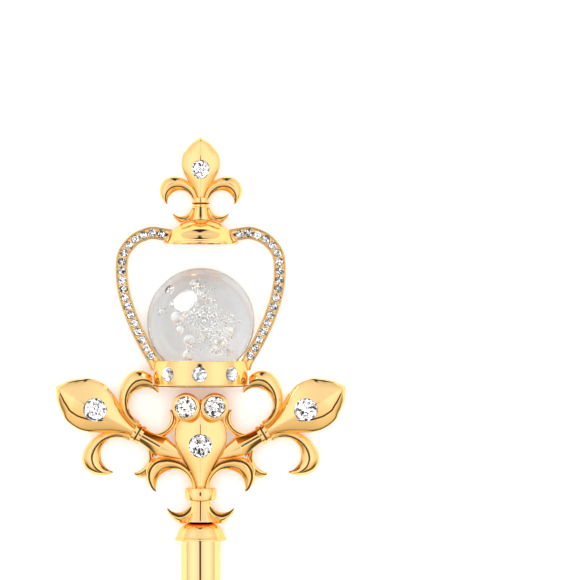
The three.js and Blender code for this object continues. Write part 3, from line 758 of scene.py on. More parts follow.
def bell(g=0.0):
    side = [[0.985, 0.12], [0.93, 0.2], [0.872, 0.33], [0.808, 0.49], [0.705, 0.65], [0.556, 0.81],
            [0.36, 0.93], [0.16, 0.99], [0, 1.0]]
    out = [(BELL_R * r + (g if r > 0 else 0), BELL_LOW + BELL_H * h + g) for r, h in smooth_profile(side, 56)]
    out[-1] = (0.0, out[-1][1])
    lip = [(BELL_R - 0.12 + g, BELL_LOW - g), (BELL_R + g, BELL_LOW + 0.14), (BELL_R + g, BELL_LOW + 0.55),
           (BELL_R - 0.07 + g, BELL_LOW + 0.7)]
    if g > 0:
        return turned([(0, BELL_LOW - g)] + lip + out, 128)
    inside = [(BELL_R * r, BELL_LOW + BELL_H * h) for r, h in smooth_profile(
        [[0, 0.8], [0.36, 0.74], [0.6, 0.58], [0.73, 0.36], [0.82, 0.16], [0.885, 0]], 30)]
    inside[0] = (0.0, inside[0][1])
    return turned(inside + lip + out, 160)


def socket(g=0.0):
    side = [[0.985, 0.11], [0.93, 0.22], [0.87, 0.42], [0.78, 0.64], [0.63, 0.82], [0.42, 0.94], [0.2, 0.99],
            [0, 1]]
    out = [(SOCKET_R * r + (g if r > 0 else 0), SOCKET_RIM + SOCKET_H * h + g)
           for r, h in smooth_profile(side, 48)]
    out[-1] = (0.0, out[-1][1])
    lip = [(SOCKET_R - 0.1 + g, SOCKET_RIM - g), (SOCKET_R + g, SOCKET_RIM + 0.1),
           (SOCKET_R + g, SOCKET_RIM + 0.4), (SOCKET_R - 0.06 + g, SOCKET_RIM + 0.52)]
    if g > 0:
        return turned([(0, SOCKET_RIM - g)] + lip + out, 128)
    bore, deep = TUBE_R + GAP, TUBE_TOP + GAP
    return turned([(0, deep), (bore, deep), (bore, SOCKET_RIM + 0.05), (bore + 0.1, SOCKET_RIM)] + lip + out,
                  144)


def band_ring(g=0.0):
    if g > 0:
        return turned([(0, BAND_LOW - g), (BAND_R + BAND_LIP + g, BAND_LOW - g),
                       (BAND_R + BAND_LIP + g, BAND_TOP + g), (0, BAND_TOP + g)], 128)
    seat = BALL_R + SEAT_CLEAR
    a1 = -math.asin((BALL_Y - BAND_TOP) / seat) / RAD
    dish = arc(seat, BALL_Y, -90, a1, 24)
    dish[0] = (0.0, dish[0][1])
    inner, floor = BAND_R - BAND_WALL, BALL_Y - seat - 1.0
    outer = rounded([(0, floor), (inner, floor), (inner, BAND_LOW), (BAND_R + BAND_LIP, BAND_LOW),
                     (BAND_R + BAND_LIP, BAND_LOW + 0.42), (BAND_R - 0.2, BAND_LOW + 0.6)]
                    + barrel(BAND_R, BAND_LOW + 0.7, BAND_TOP - 0.12, 0.22, 16)
                    + [(BAND_R - 0.36, BAND_TOP), dish[-1], (dish[-1][0] - 0.5, dish[-1][1] - 0.6)], 0.14)[:-1]
    return turned(outer + dish[:-1][::-1], 192)


def cup(g=0.0):
    if g > 0:
        return turned([(0, CUP_BASE - g), (2.3 + g, CUP_BASE - g), (3.3 + g, CUP_BASE + 0.5),
                       (CUP_R + g, CUP_BASE + 1.4), (CUP_R + g, CUP_TOP + 3), (0, CUP_TOP + 3)], 72, "z")
    s, r = CUP_TOP - 0.5, CUP_STONE + GAP
    prof = rounded([(0, CUP_BASE), (2.3, CUP_BASE), (3.3, CUP_BASE + 0.5), (CUP_R, CUP_BASE + 1.4),
                    (CUP_R, CUP_TOP - 0.75), (CUP_R - 0.12, CUP_TOP - 0.62), (CUP_R - 0.12, CUP_TOP - 0.5),
                    (CUP_R - 0.02, CUP_TOP - 0.38), (CUP_R - 0.12, CUP_TOP - 0.12), (CUP_R - 0.45, CUP_TOP),
                    (r + 0.25, CUP_TOP - 0.04), (r, s + 0.16), (r, s - 0.12),
                    (0, s - CUP_STONE * PAVILION_H - 0.16)], 0.16, 5)
    return turned(prof, 96, "z")


# ------------------------------------------------------------------ stones
def brilliant(r, hp=None, sectors=16, rings=(0.84, 0.64, 0.43, 0.21)):
    """round brilliant: crown of 33 facets, and a foiled pavilion cut in small steps;
    returns (verts, faces, painted reflection of each face: 0 crown, 1 bright, 2 grey, 3 dark)"""
    hc, hp, rt = r * CROWN_H, (r * PAVILION_H if hp is None else hp), r * TABLE_R
    rs, c22 = 0.79 * r, math.cos(22.5 * RAD)
    zs = hc * (r - rs * c22) / (r - rt)
    girdle = 0.03 * r
    P, F, S = [], [], []

    def ring(n, rad, z, off, stir=0.0):
        s = len(P)
        for i in range(n):
            a = (i + off) * 2 * math.pi / n
            P.append((rad * math.cos(a), rad * math.sin(a), z * (1 + stir * float(rng.uniform(-1, 1)))))
        return lambda i: s + i % n
    T, U = ring(8, rt, hc, 0), ring(8, rs, zs, 0.5)
    G, H = ring(16, r, 0.0, 0), ring(16, r, -girdle, 0)
    F.append(tuple(T(i) for i in range(8)))
    for i in range(8):
        F.append((T(i), U(i), T(i + 1)))
        F += [(T(i), U(i - 1), G(2 * i)), (T(i), G(2 * i), U(i))]
        F += [(U(i), G(2 * i), G(2 * i + 1)), (U(i), G(2 * i + 1), G(2 * i + 2))]
    S += [0] * len(F)

    # painted reflection: each pavilion facet is dealt one of the bright, grey and dark foils at random
    def shade(bright, grey):
        u = float(rng.uniform())
        return 1 if u < bright else (2 if u < bright + grey else 3)
    # the girdle gets the painted grey reflection
    for i in range(16):
        F.append((G(i), H(i), H(i + 1), G(i + 1)))
        S.append(2)
    above, n_above, off = H, 16, 0.0
    for k, share in enumerate(rings):
        n = sectors
        off = 0.5 if k % 2 == 0 else 0.0
        row = ring(n, r * share, -girdle - (hp - girdle) * (1 - share), off, 0.07)
        if n_above == n:
            for i in range(n):
                j = i + 1 if off == 0.5 else i
                F.append((above(i), row(i), above(i + 1)) if off == 0.5 else (above(i), row(i), row(i + 1)))
                S.append(shade(0.70, 0.12))
                F.append((row(i), row(i + 1), above(i + 1)) if off == 0.5 else (above(i), row(i + 1), above(i + 1)))
                S.append(shade(0.62, 0.12))
        else:                                   # from sixteen down to eight
            for i in range(8):
                F.append((above(2 * i), row(i), above(2 * i + 1)))
                S.append(shade(0.80, 0.12))
                F.append((above(2 * i + 1), row(i), above(2 * i + 2)))
                S.append(shade(0.80, 0.12))
                F.append((row(i), row(i + 1), above(2 * i + 2)))
                S.append(shade(0.62, 0.16))
        above, n_above = row, n
    P.append((0, 0, -hp))
    K = len(P) - 1
    for i in range(n_above):
        F.append((above(i), K, above(i + 1)))
        S.append(shade(0.62, 0.16))
    return np.array(P, float), F, S


STONE_OBJECTS = []


def stones(name, spots, nodes):
    """spots: (radius, pavilion depth, matrix in the staff frame)"""
    vs, fs, kinds, n = [], [], [], 0
    for r, hp, m in spots:
        small = r < 1.5
        v, F, S = brilliant(r, hp, 8 if small else 16, (0.7, 0.36) if small else (0.84, 0.64, 0.43, 0.21))
        m = np.array(m)
        v = v @ m[:3, :3].T + m[:3, 3]
        inner = m[:3, 3] + m[:3, 2] * (-0.12 * r)
        for f in F:
            c = v[list(f)].mean(0)
            nrm = np.cross(v[f[1]] - v[f[0]], v[f[2]] - v[f[0]])
            if np.dot(nrm, c - inner) < 0:
                f = tuple(reversed(f))
            fs.append(tuple(i + n for i in f))
        kinds += S
        vs.append(v)
        n += len(v)
    me = bpy.data.meshes.new(name)
    me.from_pydata(placed(np.vstack(vs)).tolist(), [], fs)
    me.materials.append(crown_glass)
    for q in FOILS:
        me.materials.append(q)
    me.polygons.foreach_set("material_index", kinds)
    me.update()
    ob = bpy.data.objects.new(name, me)
    bpy.context.scene.collection.objects.link(ob)
    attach(ob, "root")
    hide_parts(*nodes)
    STONE_OBJECTS.append(ob)
    return ob


# ------------------------------------------------------------------ arch line
ARCH_POINTS = [
    [8.3, 436.6], [10.94, 437.06], [13.58, 437.36], [15.95, 436.75], [18.3, 435.5], [20.1, 433.7],
    [21.42, 431.6], [21.93, 429.0], [21.98, 426.5], [21.84, 423.85], [21.45, 421.35], [20.87, 418.8],
    [20.12, 416.45], [19.34, 414.2], [18.4, 412.0], [17.42, 409.75], [16.28, 407.55], [15.14, 405.35],
    [13.86, 403.2], [12.75, 401.1], [12.2, 399.6]]


def centripetal(points, per):
    """centripetal Catmull-Rom through the points, as the CAD model's arch runs"""
    p = [np.array(q, float) for q in points]
    ext = [2 * p[0] - p[1]] + p + [2 * p[-1] - p[-2]]
    out = []
    for i in range(len(p) - 1):
        p0, p1, p2, p3 = ext[i], ext[i + 1], ext[i + 2], ext[i + 3]
        d0, d1, d2 = (max(np.linalg.norm(b - a), 1e-6) ** 0.5 for a, b in ((p0, p1), (p1, p2), (p2, p3)))
        t1 = ((p1 - p0) / d0 - (p2 - p0) / (d0 + d1) + (p2 - p1) / d1) * d1
        t2 = ((p2 - p1) / d1 - (p3 - p1) / (d1 + d2) + (p3 - p2) / d2) * d1
        for k in range(per + (i == len(p) - 2)):
            f = k / per
            out.append((2 * p1 - 2 * p2 + t1 + t2) * f ** 3 + (-3 * p1 + 3 * p2 - 2 * t1 - t2) * f ** 2
                       + t1 * f + p1)
    return np.array(out)


LINE = centripetal(ARCH_POINTS, 100)
ARC_LEN = np.concatenate([[0], np.cumsum(np.linalg.norm(np.diff(LINE, axis=0), axis=1))])
SET_FROM, SET_TO = ARC_LEN[100], ARC_LEN[1800]


def on_arch(s):
    x, y = np.interp(s, ARC_LEN, LINE[:, 0]), np.interp(s, ARC_LEN, LINE[:, 1])
    a, b = max(s - 0.15, 0), min(s + 0.15, ARC_LEN[-1])
    t = np.array([np.interp(b, ARC_LEN, LINE[:, 0]) - np.interp(a, ARC_LEN, LINE[:, 0]),
                  np.interp(b, ARC_LEN, LINE[:, 1]) - np.interp(a, ARC_LEN, LINE[:, 1])])
    t /= np.linalg.norm(t)
    return np.array([x, y]), t, np.array([t[1], -t[0]])


ARCH_FLOOR = ARCH_T / 2 - 0.40          # plate between the two raised borders


def arch(side, steps=240):
    w, c, z, d = ARCH_W / 2, CHANNEL_W / 2 - 0.11, ARCH_T / 2, ARCH_FLOOR
    shape = rounded([(-w + 9, -z), (w + 9, -z), (w + 9, z), (c + 9.06, z), (c + 9, d), (0.6 + 9, d + 0.13), (9, d + 0.18), (-0.6 + 9, d + 0.13),
                     (-c + 9, d), (-c + 8.94, z),
                     (-w + 9, z), (-w + 9, -z), (w + 9, -z)], 0.19, 4)
    shape = [(a - 9, b) for a, b in shape][1:-1]
    seen, ring = set(), []
    for a, b in shape:
        key = (round(a, 5), round(b, 5))
        if key not in seen:
            seen.add(key)
            ring.append((a, b))
    out = []
    for i in range(steps + 1):
        p, t, n = on_arch(ARC_LEN[-1] * i / steps)
        out.append([(side * (p[0] + n[0] * a), p[1] + n[1] * a, zz) for a, zz in ring])
    return loft_flat(out)


def loft_flat(sections):
    """as loft, with each end one flat face of the section's own outline"""
    s = np.array(sections, float)
    m, n, _ = s.shape
    faces = []
    for k in range(m - 1):
        a, b = k * n, (k + 1) * n
        for i in range(n):
            j = (i + 1) % n
            faces.append((a + i, a + j, b + j, b + i))
    faces.append(tuple(range(n))[::-1])
    faces.append(tuple((m - 1) * n + i for i in range(n)))
    v = s.reshape(-1, 3)
    side_faces = faces[:-2]
    if volume(v - v.mean(0), side_faces) < 0:
        faces = [tuple(reversed(f)) for f in faces]
    return v, faces


def icosphere(r, centre, sub=2, invert=False):
    bm = bmesh.new()
    bmesh.ops.create_icosphere(bm, subdivisions=sub, radius=r)
    v = np.array([q.co[:] for q in bm.verts]) + np.array(centre)
    f = [tuple(x.index for x in q.verts) for q in bm.faces]
    bm.free()
    if invert:
        f = [tuple(reversed(q)) for q in f]
    return v, f


# ------------------------------------------------------------------ the castings
COLLAR_Y = 464 - (493.8 - 137.2) * 0.2783
FRONT_Z, BIG_Z = 1.4, 2.5
SIDE_X, SIDE_Y, LEAN = 17.48, 464 - (433.5 - 137.2) * 0.2783, 60.4
TOP_Y = 464 - (202.4 - 137.2) * 0.2783
HUB_Y, HUB_R, HUB_LOW = 373.6, 2.7, -2.0


def stone_on(f):
    return f["length"] * (1 - 45.8 / 94.3)


def union_piece(parts, cuts):
    ob = mesh_object("piece", parts[0])
    boolean(ob, parts[1:], "UNION")
    if cuts:
        boolean(ob, cuts, "DIFFERENCE")
    return ob


def cast(f, m, crease=0):
    """the parts of one fleur in place, with its incised lines"""
    LINES.clear()
    parts = [at(p, m) for p in fleur(f, crease)]
    mm = np.array(m)
    return parts, [(q @ mm[:3, :3].T + mm[:3, 3], w) for q, w in LINES]


front_m = local(0, COLLAR_Y, FRONT_Z)
front_parts, front_lines = cast(FRONT, front_m)
hub = turned(rounded([(0, HUB_LOW), (HUB_R, HUB_LOW), (HUB_R, FRONT_Z), (0, FRONT_Z)], 0.35), 64, "z")
hub = (hub[0] + np.array([0, HUB_Y, 0]), hub[1])
cups_cut = {s: at(cup(GAP), local(s * CUP_X, CUP_Y, 0)) for s in (-1, 1)}

# what the front casting takes away from the side castings: itself, a hair larger
def grown(part, g=GAP):
    v, f = part
    ob = mesh_object("grow", (v, f))
    n = np.zeros((len(v), 3))
    ob.data.vertices.foreach_get("normal", n.ravel()) if False else None
    norms = np.array([q.vector[:] for q in ob.data.vertex_normals])
    back = norms @ STAFF_NP[:3, :3]
    me = ob.data
    bpy.data.objects.remove(ob)
    bpy.data.meshes.remove(me)
    return v + back * g, f


front = union_piece(front_parts + [hub], [
    at(pocket(BIG_STONE, 3.0), local(0, COLLAR_Y + stone_on(FRONT), FRONT_Z + BIG_Z)),
    cups_cut[-1], cups_cut[1], socket(GAP)])
finish_piece(front, "front_fleur_cast", gold_cast, ["front_fleur"], lines=front_lines)

front_grown = [grown(p) for p in front_parts + [hub]]
for side, name in ((-1, "left"), (1, "right")):
    m = local(side * SIDE_X, SIDE_Y, 0, -side * LEAN)
    parts, side_lines = cast(LARGE, m, side)
    parts.append(at(root(side), m))
    g = m @ Vector((0, stone_on(LARGE), 0))
    ob = union_piece(parts, [at(pocket(BIG_STONE, 3.0), local(g.x, g.y, BIG_Z))] + front_grown
                     + [cups_cut[side], band_ring(GAP)])
    finish_piece(ob, name + "_fleur_cast", gold_cast, [name + "_fleur"], lines=side_lines)
    c = mesh_object("cup", at(cup(), local(side * CUP_X, CUP_Y, 0)))
    finish_piece(c, name + "_cup_turned", gold_cast, [name + "_cup"])

top_parts, top_lines = cast(SMALL, local(0, TOP_Y, 0))
top = union_piece(top_parts, [at(pocket(TOP_STONE, 3.0), local(0, TOP_Y + 9.1, 1.95)), bell(GAP)])
finish_piece(top, "top_fleur_cast", gold_cast, ["top_fleur"], lines=top_lines)

b = mesh_object("bell", bell())
finish_piece(b, "bell_boss", gold_cast, ["crown_bell"])
s = mesh_object("socket", socket())
finish_piece(s, "socket_dome", gold_cast, ["staff_socket"])

# ------------------------------------------------------------------ crown
band_spots = []
for k in (-1, 0, 1):
    x = k * 8.85
    spot, turn = math.asin(x / BAND_R), k * 32
    band_spots.append((turn, (BAND_R * math.sin(spot), (BAND_TOP + BAND_LOW) / 2 - 0.05,
                              BAND_R * math.cos(spot))))
seat_tools = [at(turned([(0, 1.5), (BAND_STONE + GAP, 1.5), (BAND_STONE + GAP, -0.62),
                         (BAND_STONE * 0.5, -1.15), (0, -1.15)], 64, "z"), local(*p, 0, turn))
              for turn, p in band_spots]
arch_s = [SET_FROM + (SET_TO - SET_FROM) * i / (ARCH_STONES - 1) for i in range(ARCH_STONES)]
drill, beads = [], []
STONE_Z = ARCH_T / 2 - 0.12
for side in (-1, 1):
    for i, sdist in enumerate(arch_s):
        p, t, n = on_arch(sdist)
        hole = turned([(0, 1.0), (ARCH_STONE_R + 0.03, 1.0), (ARCH_STONE_R + 0.03, -0.08),
                       (0.25, -0.86), (0, -0.86)], 32, "z")
        drill.append(at(hole, local(side * p[0], p[1], STONE_Z)))
        if i + 1 < ARCH_STONES:
            q, tq, nq = on_arch((sdist + arch_s[i + 1]) / 2)
            for k in (-1, 1):
                c = q + nq * k * 0.92
                beads.append(icosphere(0.27, (side * c[0], c[1], ARCH_FLOOR + 0.16), 2))
crown = mesh_object("crown", band_ring())
boolean(crown, [arch(-1), arch(1)], "UNION")
boolean(crown, [bell(GAP)] + seat_tools + [joined(*drill[0::2]), joined(*drill[1::2])], "DIFFERENCE")
boolean(crown, [joined(*beads)], "UNION")
# a painted shadow line along the band's lower edge, in the near-black gilt
painted_shadow_under_lip = (np.array([(x, BAND_LOW + 0.03, 0) for x in np.linspace(-14, 14, 200)]), np.full(200, 0.2))
finish_piece(crown, "crown_casting", gold_cast, ["crown_frame"], lines=[painted_shadow_under_lip])

# ------------------------------------------------------------------ stones
BIG = []
for side, m in ((0, local(0, COLLAR_Y + stone_on(FRONT), FRONT_Z + BIG_Z, 9)),):
    BIG.append((BIG_STONE, None, m))
for side in (-1, 1):
    m = local(side * SIDE_X, SIDE_Y, 0, -side * LEAN)
    g = m @ Vector((0, stone_on(LARGE), 0))
    BIG.append((BIG_STONE, None, local(g.x, g.y, BIG_Z, 5 * side)))
    BIG.append((CUP_STONE, None, local(side * CUP_X, CUP_Y, CUP_TOP - 0.5, 14 * side)))
BIG.append((TOP_STONE, None, local(0, TOP_Y + 9.1, 1.95, 3)))
for turn, p in band_spots:
    a = turn * RAD
    BIG.append((BAND_STONE, 0.81, local(p[0] - math.sin(a) * 0.2, p[1], p[2] - math.cos(a) * 0.2, 0, turn)
                @ Matrix.Rotation(0.2 + turn * 0.01, 4, "Z")))
stones("large_stones", BIG, ["front_stone", "left_stone", "right_stone", "left_cup_stone",
                             "right_cup_stone", "top_stone", "band_stone_left", "band_stone_middle",
                             "band_stone_right"])
for side, name in ((-1, "left"), (1, "right")):
    row = []
    for i, sdist in enumerate(arch_s):
        p, t, n = on_arch(sdist)
        row.append((ARCH_STONE_R - 0.02, 0.82, local(side * p[0], p[1], STONE_Z, float(rng.uniform(-9, 9)))))
    stones(name + "_arch_stones", row, [f"arch_stone_{name}_{i:02d}" for i in range(1, 19)])

# ------------------------------------------------------------------ staff
t = mesh_object("tube", turned([(TUBE_R - TUBE_WALL, TUBE_FOOT), (TUBE_R - 0.06, TUBE_FOOT),
                                (TUBE_R, TUBE_FOOT + 0.06)]
                               + [(TUBE_R, TUBE_FOOT + 0.06 + (TUBE_TOP - TUBE_FOOT - 0.12) * k / 12)
                                  for k in range(1, 12)]
                               + [(TUBE_R, TUBE_TOP - 0.06), (TUBE_R - 0.06, TUBE_TOP),
                                  (TUBE_R - TUBE_WALL, TUBE_TOP)], 160))
finish_piece(t, "bright_tube", gold_tube, ["staff_tube"])

spigot = TUBE_R - TUBE_WALL - GAP
tail = smooth_profile([[1.15, 2.0], [1.6, 2.03], [2.3, 2.2], [3.7, 2.9], [4.75, 4.2], [5.25, 5.9], [5.35, 7.6],
                       [5.35, CAP_BAND_LOW - 0.5]], 48)
cap = turned([(0, 0), (0.85, 0), (1.05, 0.08), (1.15, 0.3), (1.15, 1.85)] + tail[1:]
             + rounded([tail[-1], (5.37, CAP_BAND_LOW - 0.42), (CAP_BAND_R - 0.2, CAP_BAND_LOW - 0.3),
                        (CAP_BAND_R, CAP_BAND_LOW), (CAP_BAND_R, TUBE_FOOT - 0.35),
                        (CAP_BAND_R - 0.3, TUBE_FOOT - GAP), (spigot, TUBE_FOOT - GAP),
                        (spigot, TUBE_FOOT + 6), (0, TUBE_FOOT + 6)], 0.14)[1:], 144)
e = mesh_object("cap", cap)
# the small flat that stops the staff from rolling
x0, y0, y1, z0 = 15.0, -20.0, 60.0, -20.0
gv = np.array([(x, y, z) for z in (-20.0, 0.0) for y in (y0, y1) for x in (-x0, x0)], float)
inv = np.array(STAFF.inverted())
gw = gv * 1e-3 + np.array([0, STAFF_NP[1, 3], 0])
gl = (gw @ inv[:3, :3].T + inv[:3, 3]) * 1e3
ground = outward(gl, [(0, 2, 3, 1), (4, 5, 7, 6), (0, 1, 5, 4), (3, 2, 6, 7), (0, 4, 6, 2), (1, 3, 7, 5)])
boolean(e, [ground], "DIFFERENCE")
finish_piece(e, "tail_ferrule", gold_cast, ["end_cap"])

# ------------------------------------------------------------------ ball with its bubbles
low = -math.acos(math.sqrt(BALL_R ** 2 - BALL_H ** 2) / BALL_R) / RAD
flat_r = math.sqrt(BALL_R ** 2 - BALL_H ** 2)
prof = [(0, -BALL_H), (flat_r * 0.5, -BALL_H), (flat_r - 0.08, -BALL_H)] + arc(BALL_R, 0, low + 0.4, 90, 96)
prof[-1] = (0.0, prof[-1][1])
untilt = Matrix.Translation((0, BALL_Y, 0)) @ Matrix.Rotation(-TILT, 4, "X")
skin = at(turned(prof, 160, "z"), untilt)


def bubble_cloud():
    """sealed bubbles: a slanting cloud of fine seed, with larger ones along its edges"""
    k = 0.2783
    spots = []          # (centre in mm from the ball's middle, radius)
    big = [(-27.5, 29.0, 4.8, 5.5), (-5.0, 32.5, 4.0, 5.0), (-23.5, 15.0, 3.0, 6.5), (-19.0, 3.5, 4.6, 5.0),
           (-16.5, -6.5, 3.2, 6.0), (-8.8, -14.5, 4.4, 5.5), (-8.6, -25.0, 4.4, 2.5), (16.2, -15.4, 4.4, 4.5),
           (21.5, -23.0, 3.0, 1.0), (25.5, -7.0, 3.2, 4.0), (1.0, 24.5, 2.6, 6.0), (-32.0, 7.5, 2.2, 4.0),
           (9.5, -21.5, 2.4, 4.0), (-13.5, 9.0, 2.5, 6.5), (7.5, 17.5, 2.2, 6.0)]
    for x, y, r, z in big:
        spots.append((np.array([x * k, y * k, z]), r * k))
    # (x, y, spread, share of the seed)
    knots = [(-1.0, 27.0, 3.6, 1.0), (3.0, 22.0, 4.0, 1.2), (-5.5, 20.0, 3.6, 1.0), (-1.0, 14.5, 4.2, 1.4),
             (-12.5, 9.5, 3.2, 1.0), (-6.0, 3.0, 4.6, 1.6), (-14.0, 0.0, 3.0, 0.8), (1.5, 6.5, 4.4, 1.0),
             (0.0, -6.0, 4.4, 1.3), (8.0, -10.0, 4.2, 1.3), (15.0, -4.0, 4.2, 1.0), (20.0, -11.0, 3.8, 1.0),
             (12.0, -17.0, 3.6, 1.0), (23.0, 1.0, 3.4, 0.6), (17.5, -22.0, 2.8, 0.5), (-8.0, -20.0, 2.4, 0.4),
             (13.0, 8.0, 4.0, 0.35), (-31.0, 8.0, 2.4, 0.25)]
    odds = np.array([q[3] for q in knots])
    odds /= odds.sum()
    tries = 0
    while len(spots) < 620 and tries < 60000:
        tries += 1
        x, y, spread, _ = knots[rng.choice(len(knots), p=odds)]
        c = np.array([x + rng.normal(0, spread), y + rng.normal(0, spread), 0.0]) * k
        c[2] = rng.normal(4.8, 1.6)
        r = float(np.clip(rng.lognormal(math.log(0.19), 0.42), 0.10, 0.52))
        if np.linalg.norm(c) + r > BALL_R - 1.6:
            continue
        if any(np.linalg.norm(c - q) < r + t + 0.02 for q, t in spots):
            continue
        spots.append((c, r))
    return spots


shells = [skin]
for c, r in bubble_cloud():
    shells.append(icosphere(r, np.array([0, BALL_Y, 0]) + c, 4 if r > 0.8 else (3 if r > 0.45 else 2), invert=True))
v, f = skin
ball = mesh_object("ball", joined(*shells))
finish_piece(ball, "bubble_glass_ball", ball_glass, ["crystal_ball"], crease=30.0)
ball.data.materials.append(bubble_wall)
centre = Vector(placed([[0, BALL_Y, 0]])[0])
for p in ball.data.polygons:
    if (p.center - centre).length < (BALL_R - 1.5) * 1e-3 and p.center.z > 2e-4:
        p.material_index = 1

# ------------------------------------------------------------------ floor, light, camera
bm = bmesh.new()
bmesh.ops.create_grid(bm, x_segments=24, y_segments=24, size=3.0)
me = bpy.data.meshes.new("floor")
bm.to_mesh(me)
bm.free()
floor = bpy.data.objects.new("floor", me)
floor.location = (0, 0, -0.0002)
bpy.context.scene.collection.objects.link(floor)
F = Tree("pale floor")
fn = F.node("ShaderNodeTexNoise")
fn.inputs["Scale"].default_value = 3.0
fr = F.node("ShaderNodeMapRange")
fr.inputs["To Min"].default_value = 0.90
fr.inputs["To Max"].default_value = 0.93
F.link(fn.outputs["Fac"], fr.inputs["Value"])
fc = F.node("ShaderNodeCombineColor")
for k, much in ((0, 0.95), (1, 0.975), (2, 1.0)):
    mm = F.node("ShaderNodeMath", operation="MULTIPLY")
    mm.inputs[1].default_value = much
    F.link(fr.outputs["Result"], mm.inputs[0])
    F.link(mm.outputs[0], fc.inputs[k])
F.link(fc.outputs["Color"], F.bsdf.inputs["Base Color"])
F.bsdf.inputs["Roughness"].default_value = 0.9
F.bsdf.inputs["Specular IOR Level"].default_value = 0.1
me.materials.append(F.m)

scene = bpy.context.scene
scene.view_settings.view_transform = "Standard"
scene.view_settings.look = "None"
scene.view_settings.exposure = 0.0

world = bpy.data.worlds.new("studio")
scene.world = world
world.use_nodes = True
W = world.node_tree
W.nodes.clear()


def wn(kind, **sets):
    n = W.nodes.new(kind)
    for k, v in sets.items():
        setattr(n, k, v)
    return n


def wmath(op, a, b=None, c=None):
    n = wn("ShaderNodeMath", operation=op)
    for i, q in enumerate((a, b, c)):
        if q is None:
            continue
        if isinstance(q, (int, float)):
            n.inputs[i].default_value = q
        else:
            W.links.new(q, n.inputs[i])
    return n.outputs[0]


def wstep(x, a, b):
    n = wn("ShaderNodeMapRange", interpolation_type="SMOOTHSTEP")
    n.inputs["From Min"].default_value = a
    n.inputs["From Max"].default_value = b
    W.links.new(x, n.inputs["Value"])
    return n.outputs["Result"]


tcw = wn("ShaderNodeTexCoord")
sp = wn("ShaderNodeSeparateXYZ")
W.links.new(tcw.outputs["Generated"], sp.inputs[0])
lean_x = wmath("ADD", wmath("ARCSINE", sp.outputs["X"]), 1.6 * RAD)      # angle out to the side
turn_y = wmath("ARCTAN2", sp.outputs["Y"], sp.outputs["Z"])             # angle round toward the head
ax = wmath("ABSOLUTE", lean_x)
# the dark slot between the two soft boxes: narrow overhead, opening toward the head
slot = wn("ShaderNodeValToRGB")
DEG = [(-90, -12), (90, 15), (-17, -12), (-11, 3.6), (9, 3.6), (14, -12), (61, -12), (66, 2.2), (74, 4), (83, 11)]
cr = slot.color_ramp
cr.interpolation = "LINEAR"
for k, (d, w) in enumerate(DEG):
    el = cr.elements[0] if k == 0 else (cr.elements[-1] if k == 1 else cr.elements.new((d + 90) / 180))
    g = (w + 12) / 60
    el.position = (d + 90) / 180
    el.color = (g, g, g, 1)
W.links.new(wmath("ADD", wmath("MULTIPLY", turn_y, 1 / math.pi), 0.5), slot.inputs["Fac"])
slot_w = wmath("SUBTRACT", wmath("MULTIPLY", slot.outputs["Color"], 60 * RAD), 12 * RAD)
gap = wstep(wmath("SUBTRACT", ax, slot_w), -1.2 * RAD, 4.5 * RAD)
theta = wmath("ARCCOSINE", sp.outputs["Z"])
tailward = wstep(sp.outputs["Y"], -0.15, -0.6)
ring = wmath("SUBTRACT", 1.0, wmath("MULTIPLY", wstep(theta, 70 * RAD, 80 * RAD),
                                    wmath("MULTIPLY", tailward, 0.9)))
level = wmath("ADD", 0.95, wmath("MULTIPLY", wstep(ax, 6 * RAD, 42 * RAD), 0.27))
level = wmath("MULTIPLY", level, wmath("SUBTRACT", 1.0, wmath("MULTIPLY", wstep(theta, 50 * RAD, 80 * RAD), 0.22)))
tail_side = wstep(turn_y, -18 * RAD, -55 * RAD)                          # a warm card toward the tail
level = wmath("MULTIPLY", level, wmath("SUBTRACT", 1.0, wmath("MULTIPLY", tail_side, 0.12)))
level = wmath("MULTIPLY", wmath("MULTIPLY", gap, ring), level)
level = wmath("ADD", level, 0.035)
tone = wn("ShaderNodeMix", data_type="RGBA")
tone.inputs["A"].default_value = (1.0, 0.985, 0.965, 1)
tone.inputs["B"].default_value = (1.0, 0.87, 0.66, 1)
W.links.new(tail_side, tone.inputs["Factor"])
bg = wn("ShaderNodeBackground")
W.links.new(tone.outputs["Result"], bg.inputs["Color"])
W.links.new(level, bg.inputs["Strength"])
plain = wn("ShaderNodeBackground")
plain.inputs["Color"].default_value = (0.96, 0.96, 0.955, 1)
plain.inputs["Strength"].default_value = 1.0
lp = wn("ShaderNodeLightPath")
mixw = wn("ShaderNodeMixShader")
W.links.new(lp.outputs["Is Camera Ray"], mixw.inputs["Fac"])
W.links.new(bg.outputs[0], mixw.inputs[1])
W.links.new(plain.outputs[0], mixw.inputs[2])
wo = wn("ShaderNodeOutputWorld")
W.links.new(mixw.outputs[0], wo.inputs["Surface"])


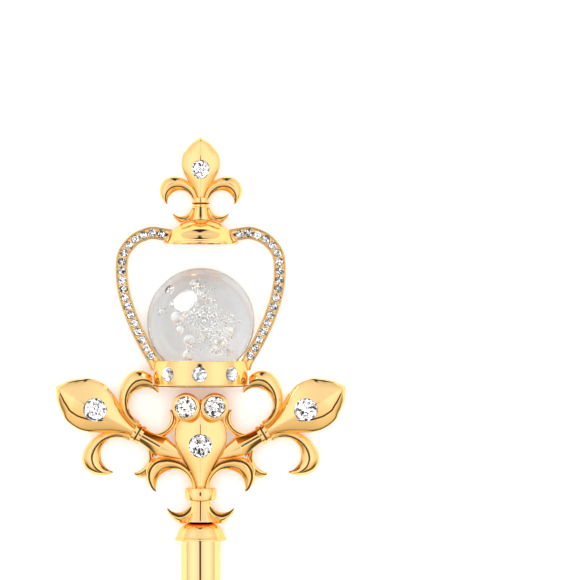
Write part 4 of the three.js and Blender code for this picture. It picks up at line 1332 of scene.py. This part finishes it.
def area(name, loc, aim, size, power, glossy=True, size_y=None):
    L = bpy.data.lights.new(name, "AREA")
    L.shape = "RECTANGLE" if size_y else "SQUARE"
    L.size = size
    if size_y:
        L.size_y = size_y
    L.energy = power
    o = bpy.data.objects.new(name, L)
    scene.collection.objects.link(o)
    o.location = loc
    o.rotation_euler = (Vector(aim) - Vector(loc)).to_track_quat("-Z", "Y").to_euler()
    o.visible_camera = False
    o.visible_glossy = glossy
    o.visible_transmission = glossy
    return o


def falls_on(light, *things):
    """the light reaches only these pieces"""
    c = bpy.data.collections.new(light.name + " falls on")
    for q in things:
        c.objects.link(q)
    light.light_linking.receiver_collection = c


head = Vector(placed([[0, 412.0, 0]])[0])
area("floor fill", (head.x + 0.02, head.y, 1.3), head, 0.5, 10.5, glossy=False)
tent = area("tent", (head.x, head.y - 0.1, 1.7), head, 1.8, 3.5, glossy=False)
tent.visible_transmission = True
spark = area("jewel light", (head.x + 0.02, head.y, 1.0), head, 2.0, 22.0, glossy=False)
spark.visible_transmission = True
falls_on(spark, *STONE_OBJECTS)
ball_at = Vector(placed([[0, BALL_Y, 0]])[0])
for k, (dx, dy, dz, size, power) in enumerate(((-0.56, 0.62, 0.50, 0.62, 9.0), (-0.50, 0.70, 0.56, 0.86, 12.0),
                                               (-0.58, 0.52, 0.46, 0.36, 4.5), (-0.36, 0.78, 0.52, 0.40, 4.0))):
    pane = area(f"window {k}", ball_at + Vector((dx, dy, dz)), ball_at, size, power)
    pane.data.shape = "DISK"
    falls_on(pane, ball)

# camera: square on to the head, framed on its close view
K = 0.2783e-3
cam = bpy.data.cameras.new("camera")
cam.lens, cam.sensor_width = 200.0, 36.0
cam.clip_end = 20.0
co = bpy.data.objects.new("camera", cam)
scene.collection.objects.link(co)
scene.camera = co
dist = 580 * K * 200.0 / 36.0
eye = STAFF @ Vector(((290 - 200.8) * K, 0.464 - (290 - 137.2) * K, dist))
co.matrix_world = Matrix.Translation(eye) @ Matrix.Rotation(TILT, 4, "X")
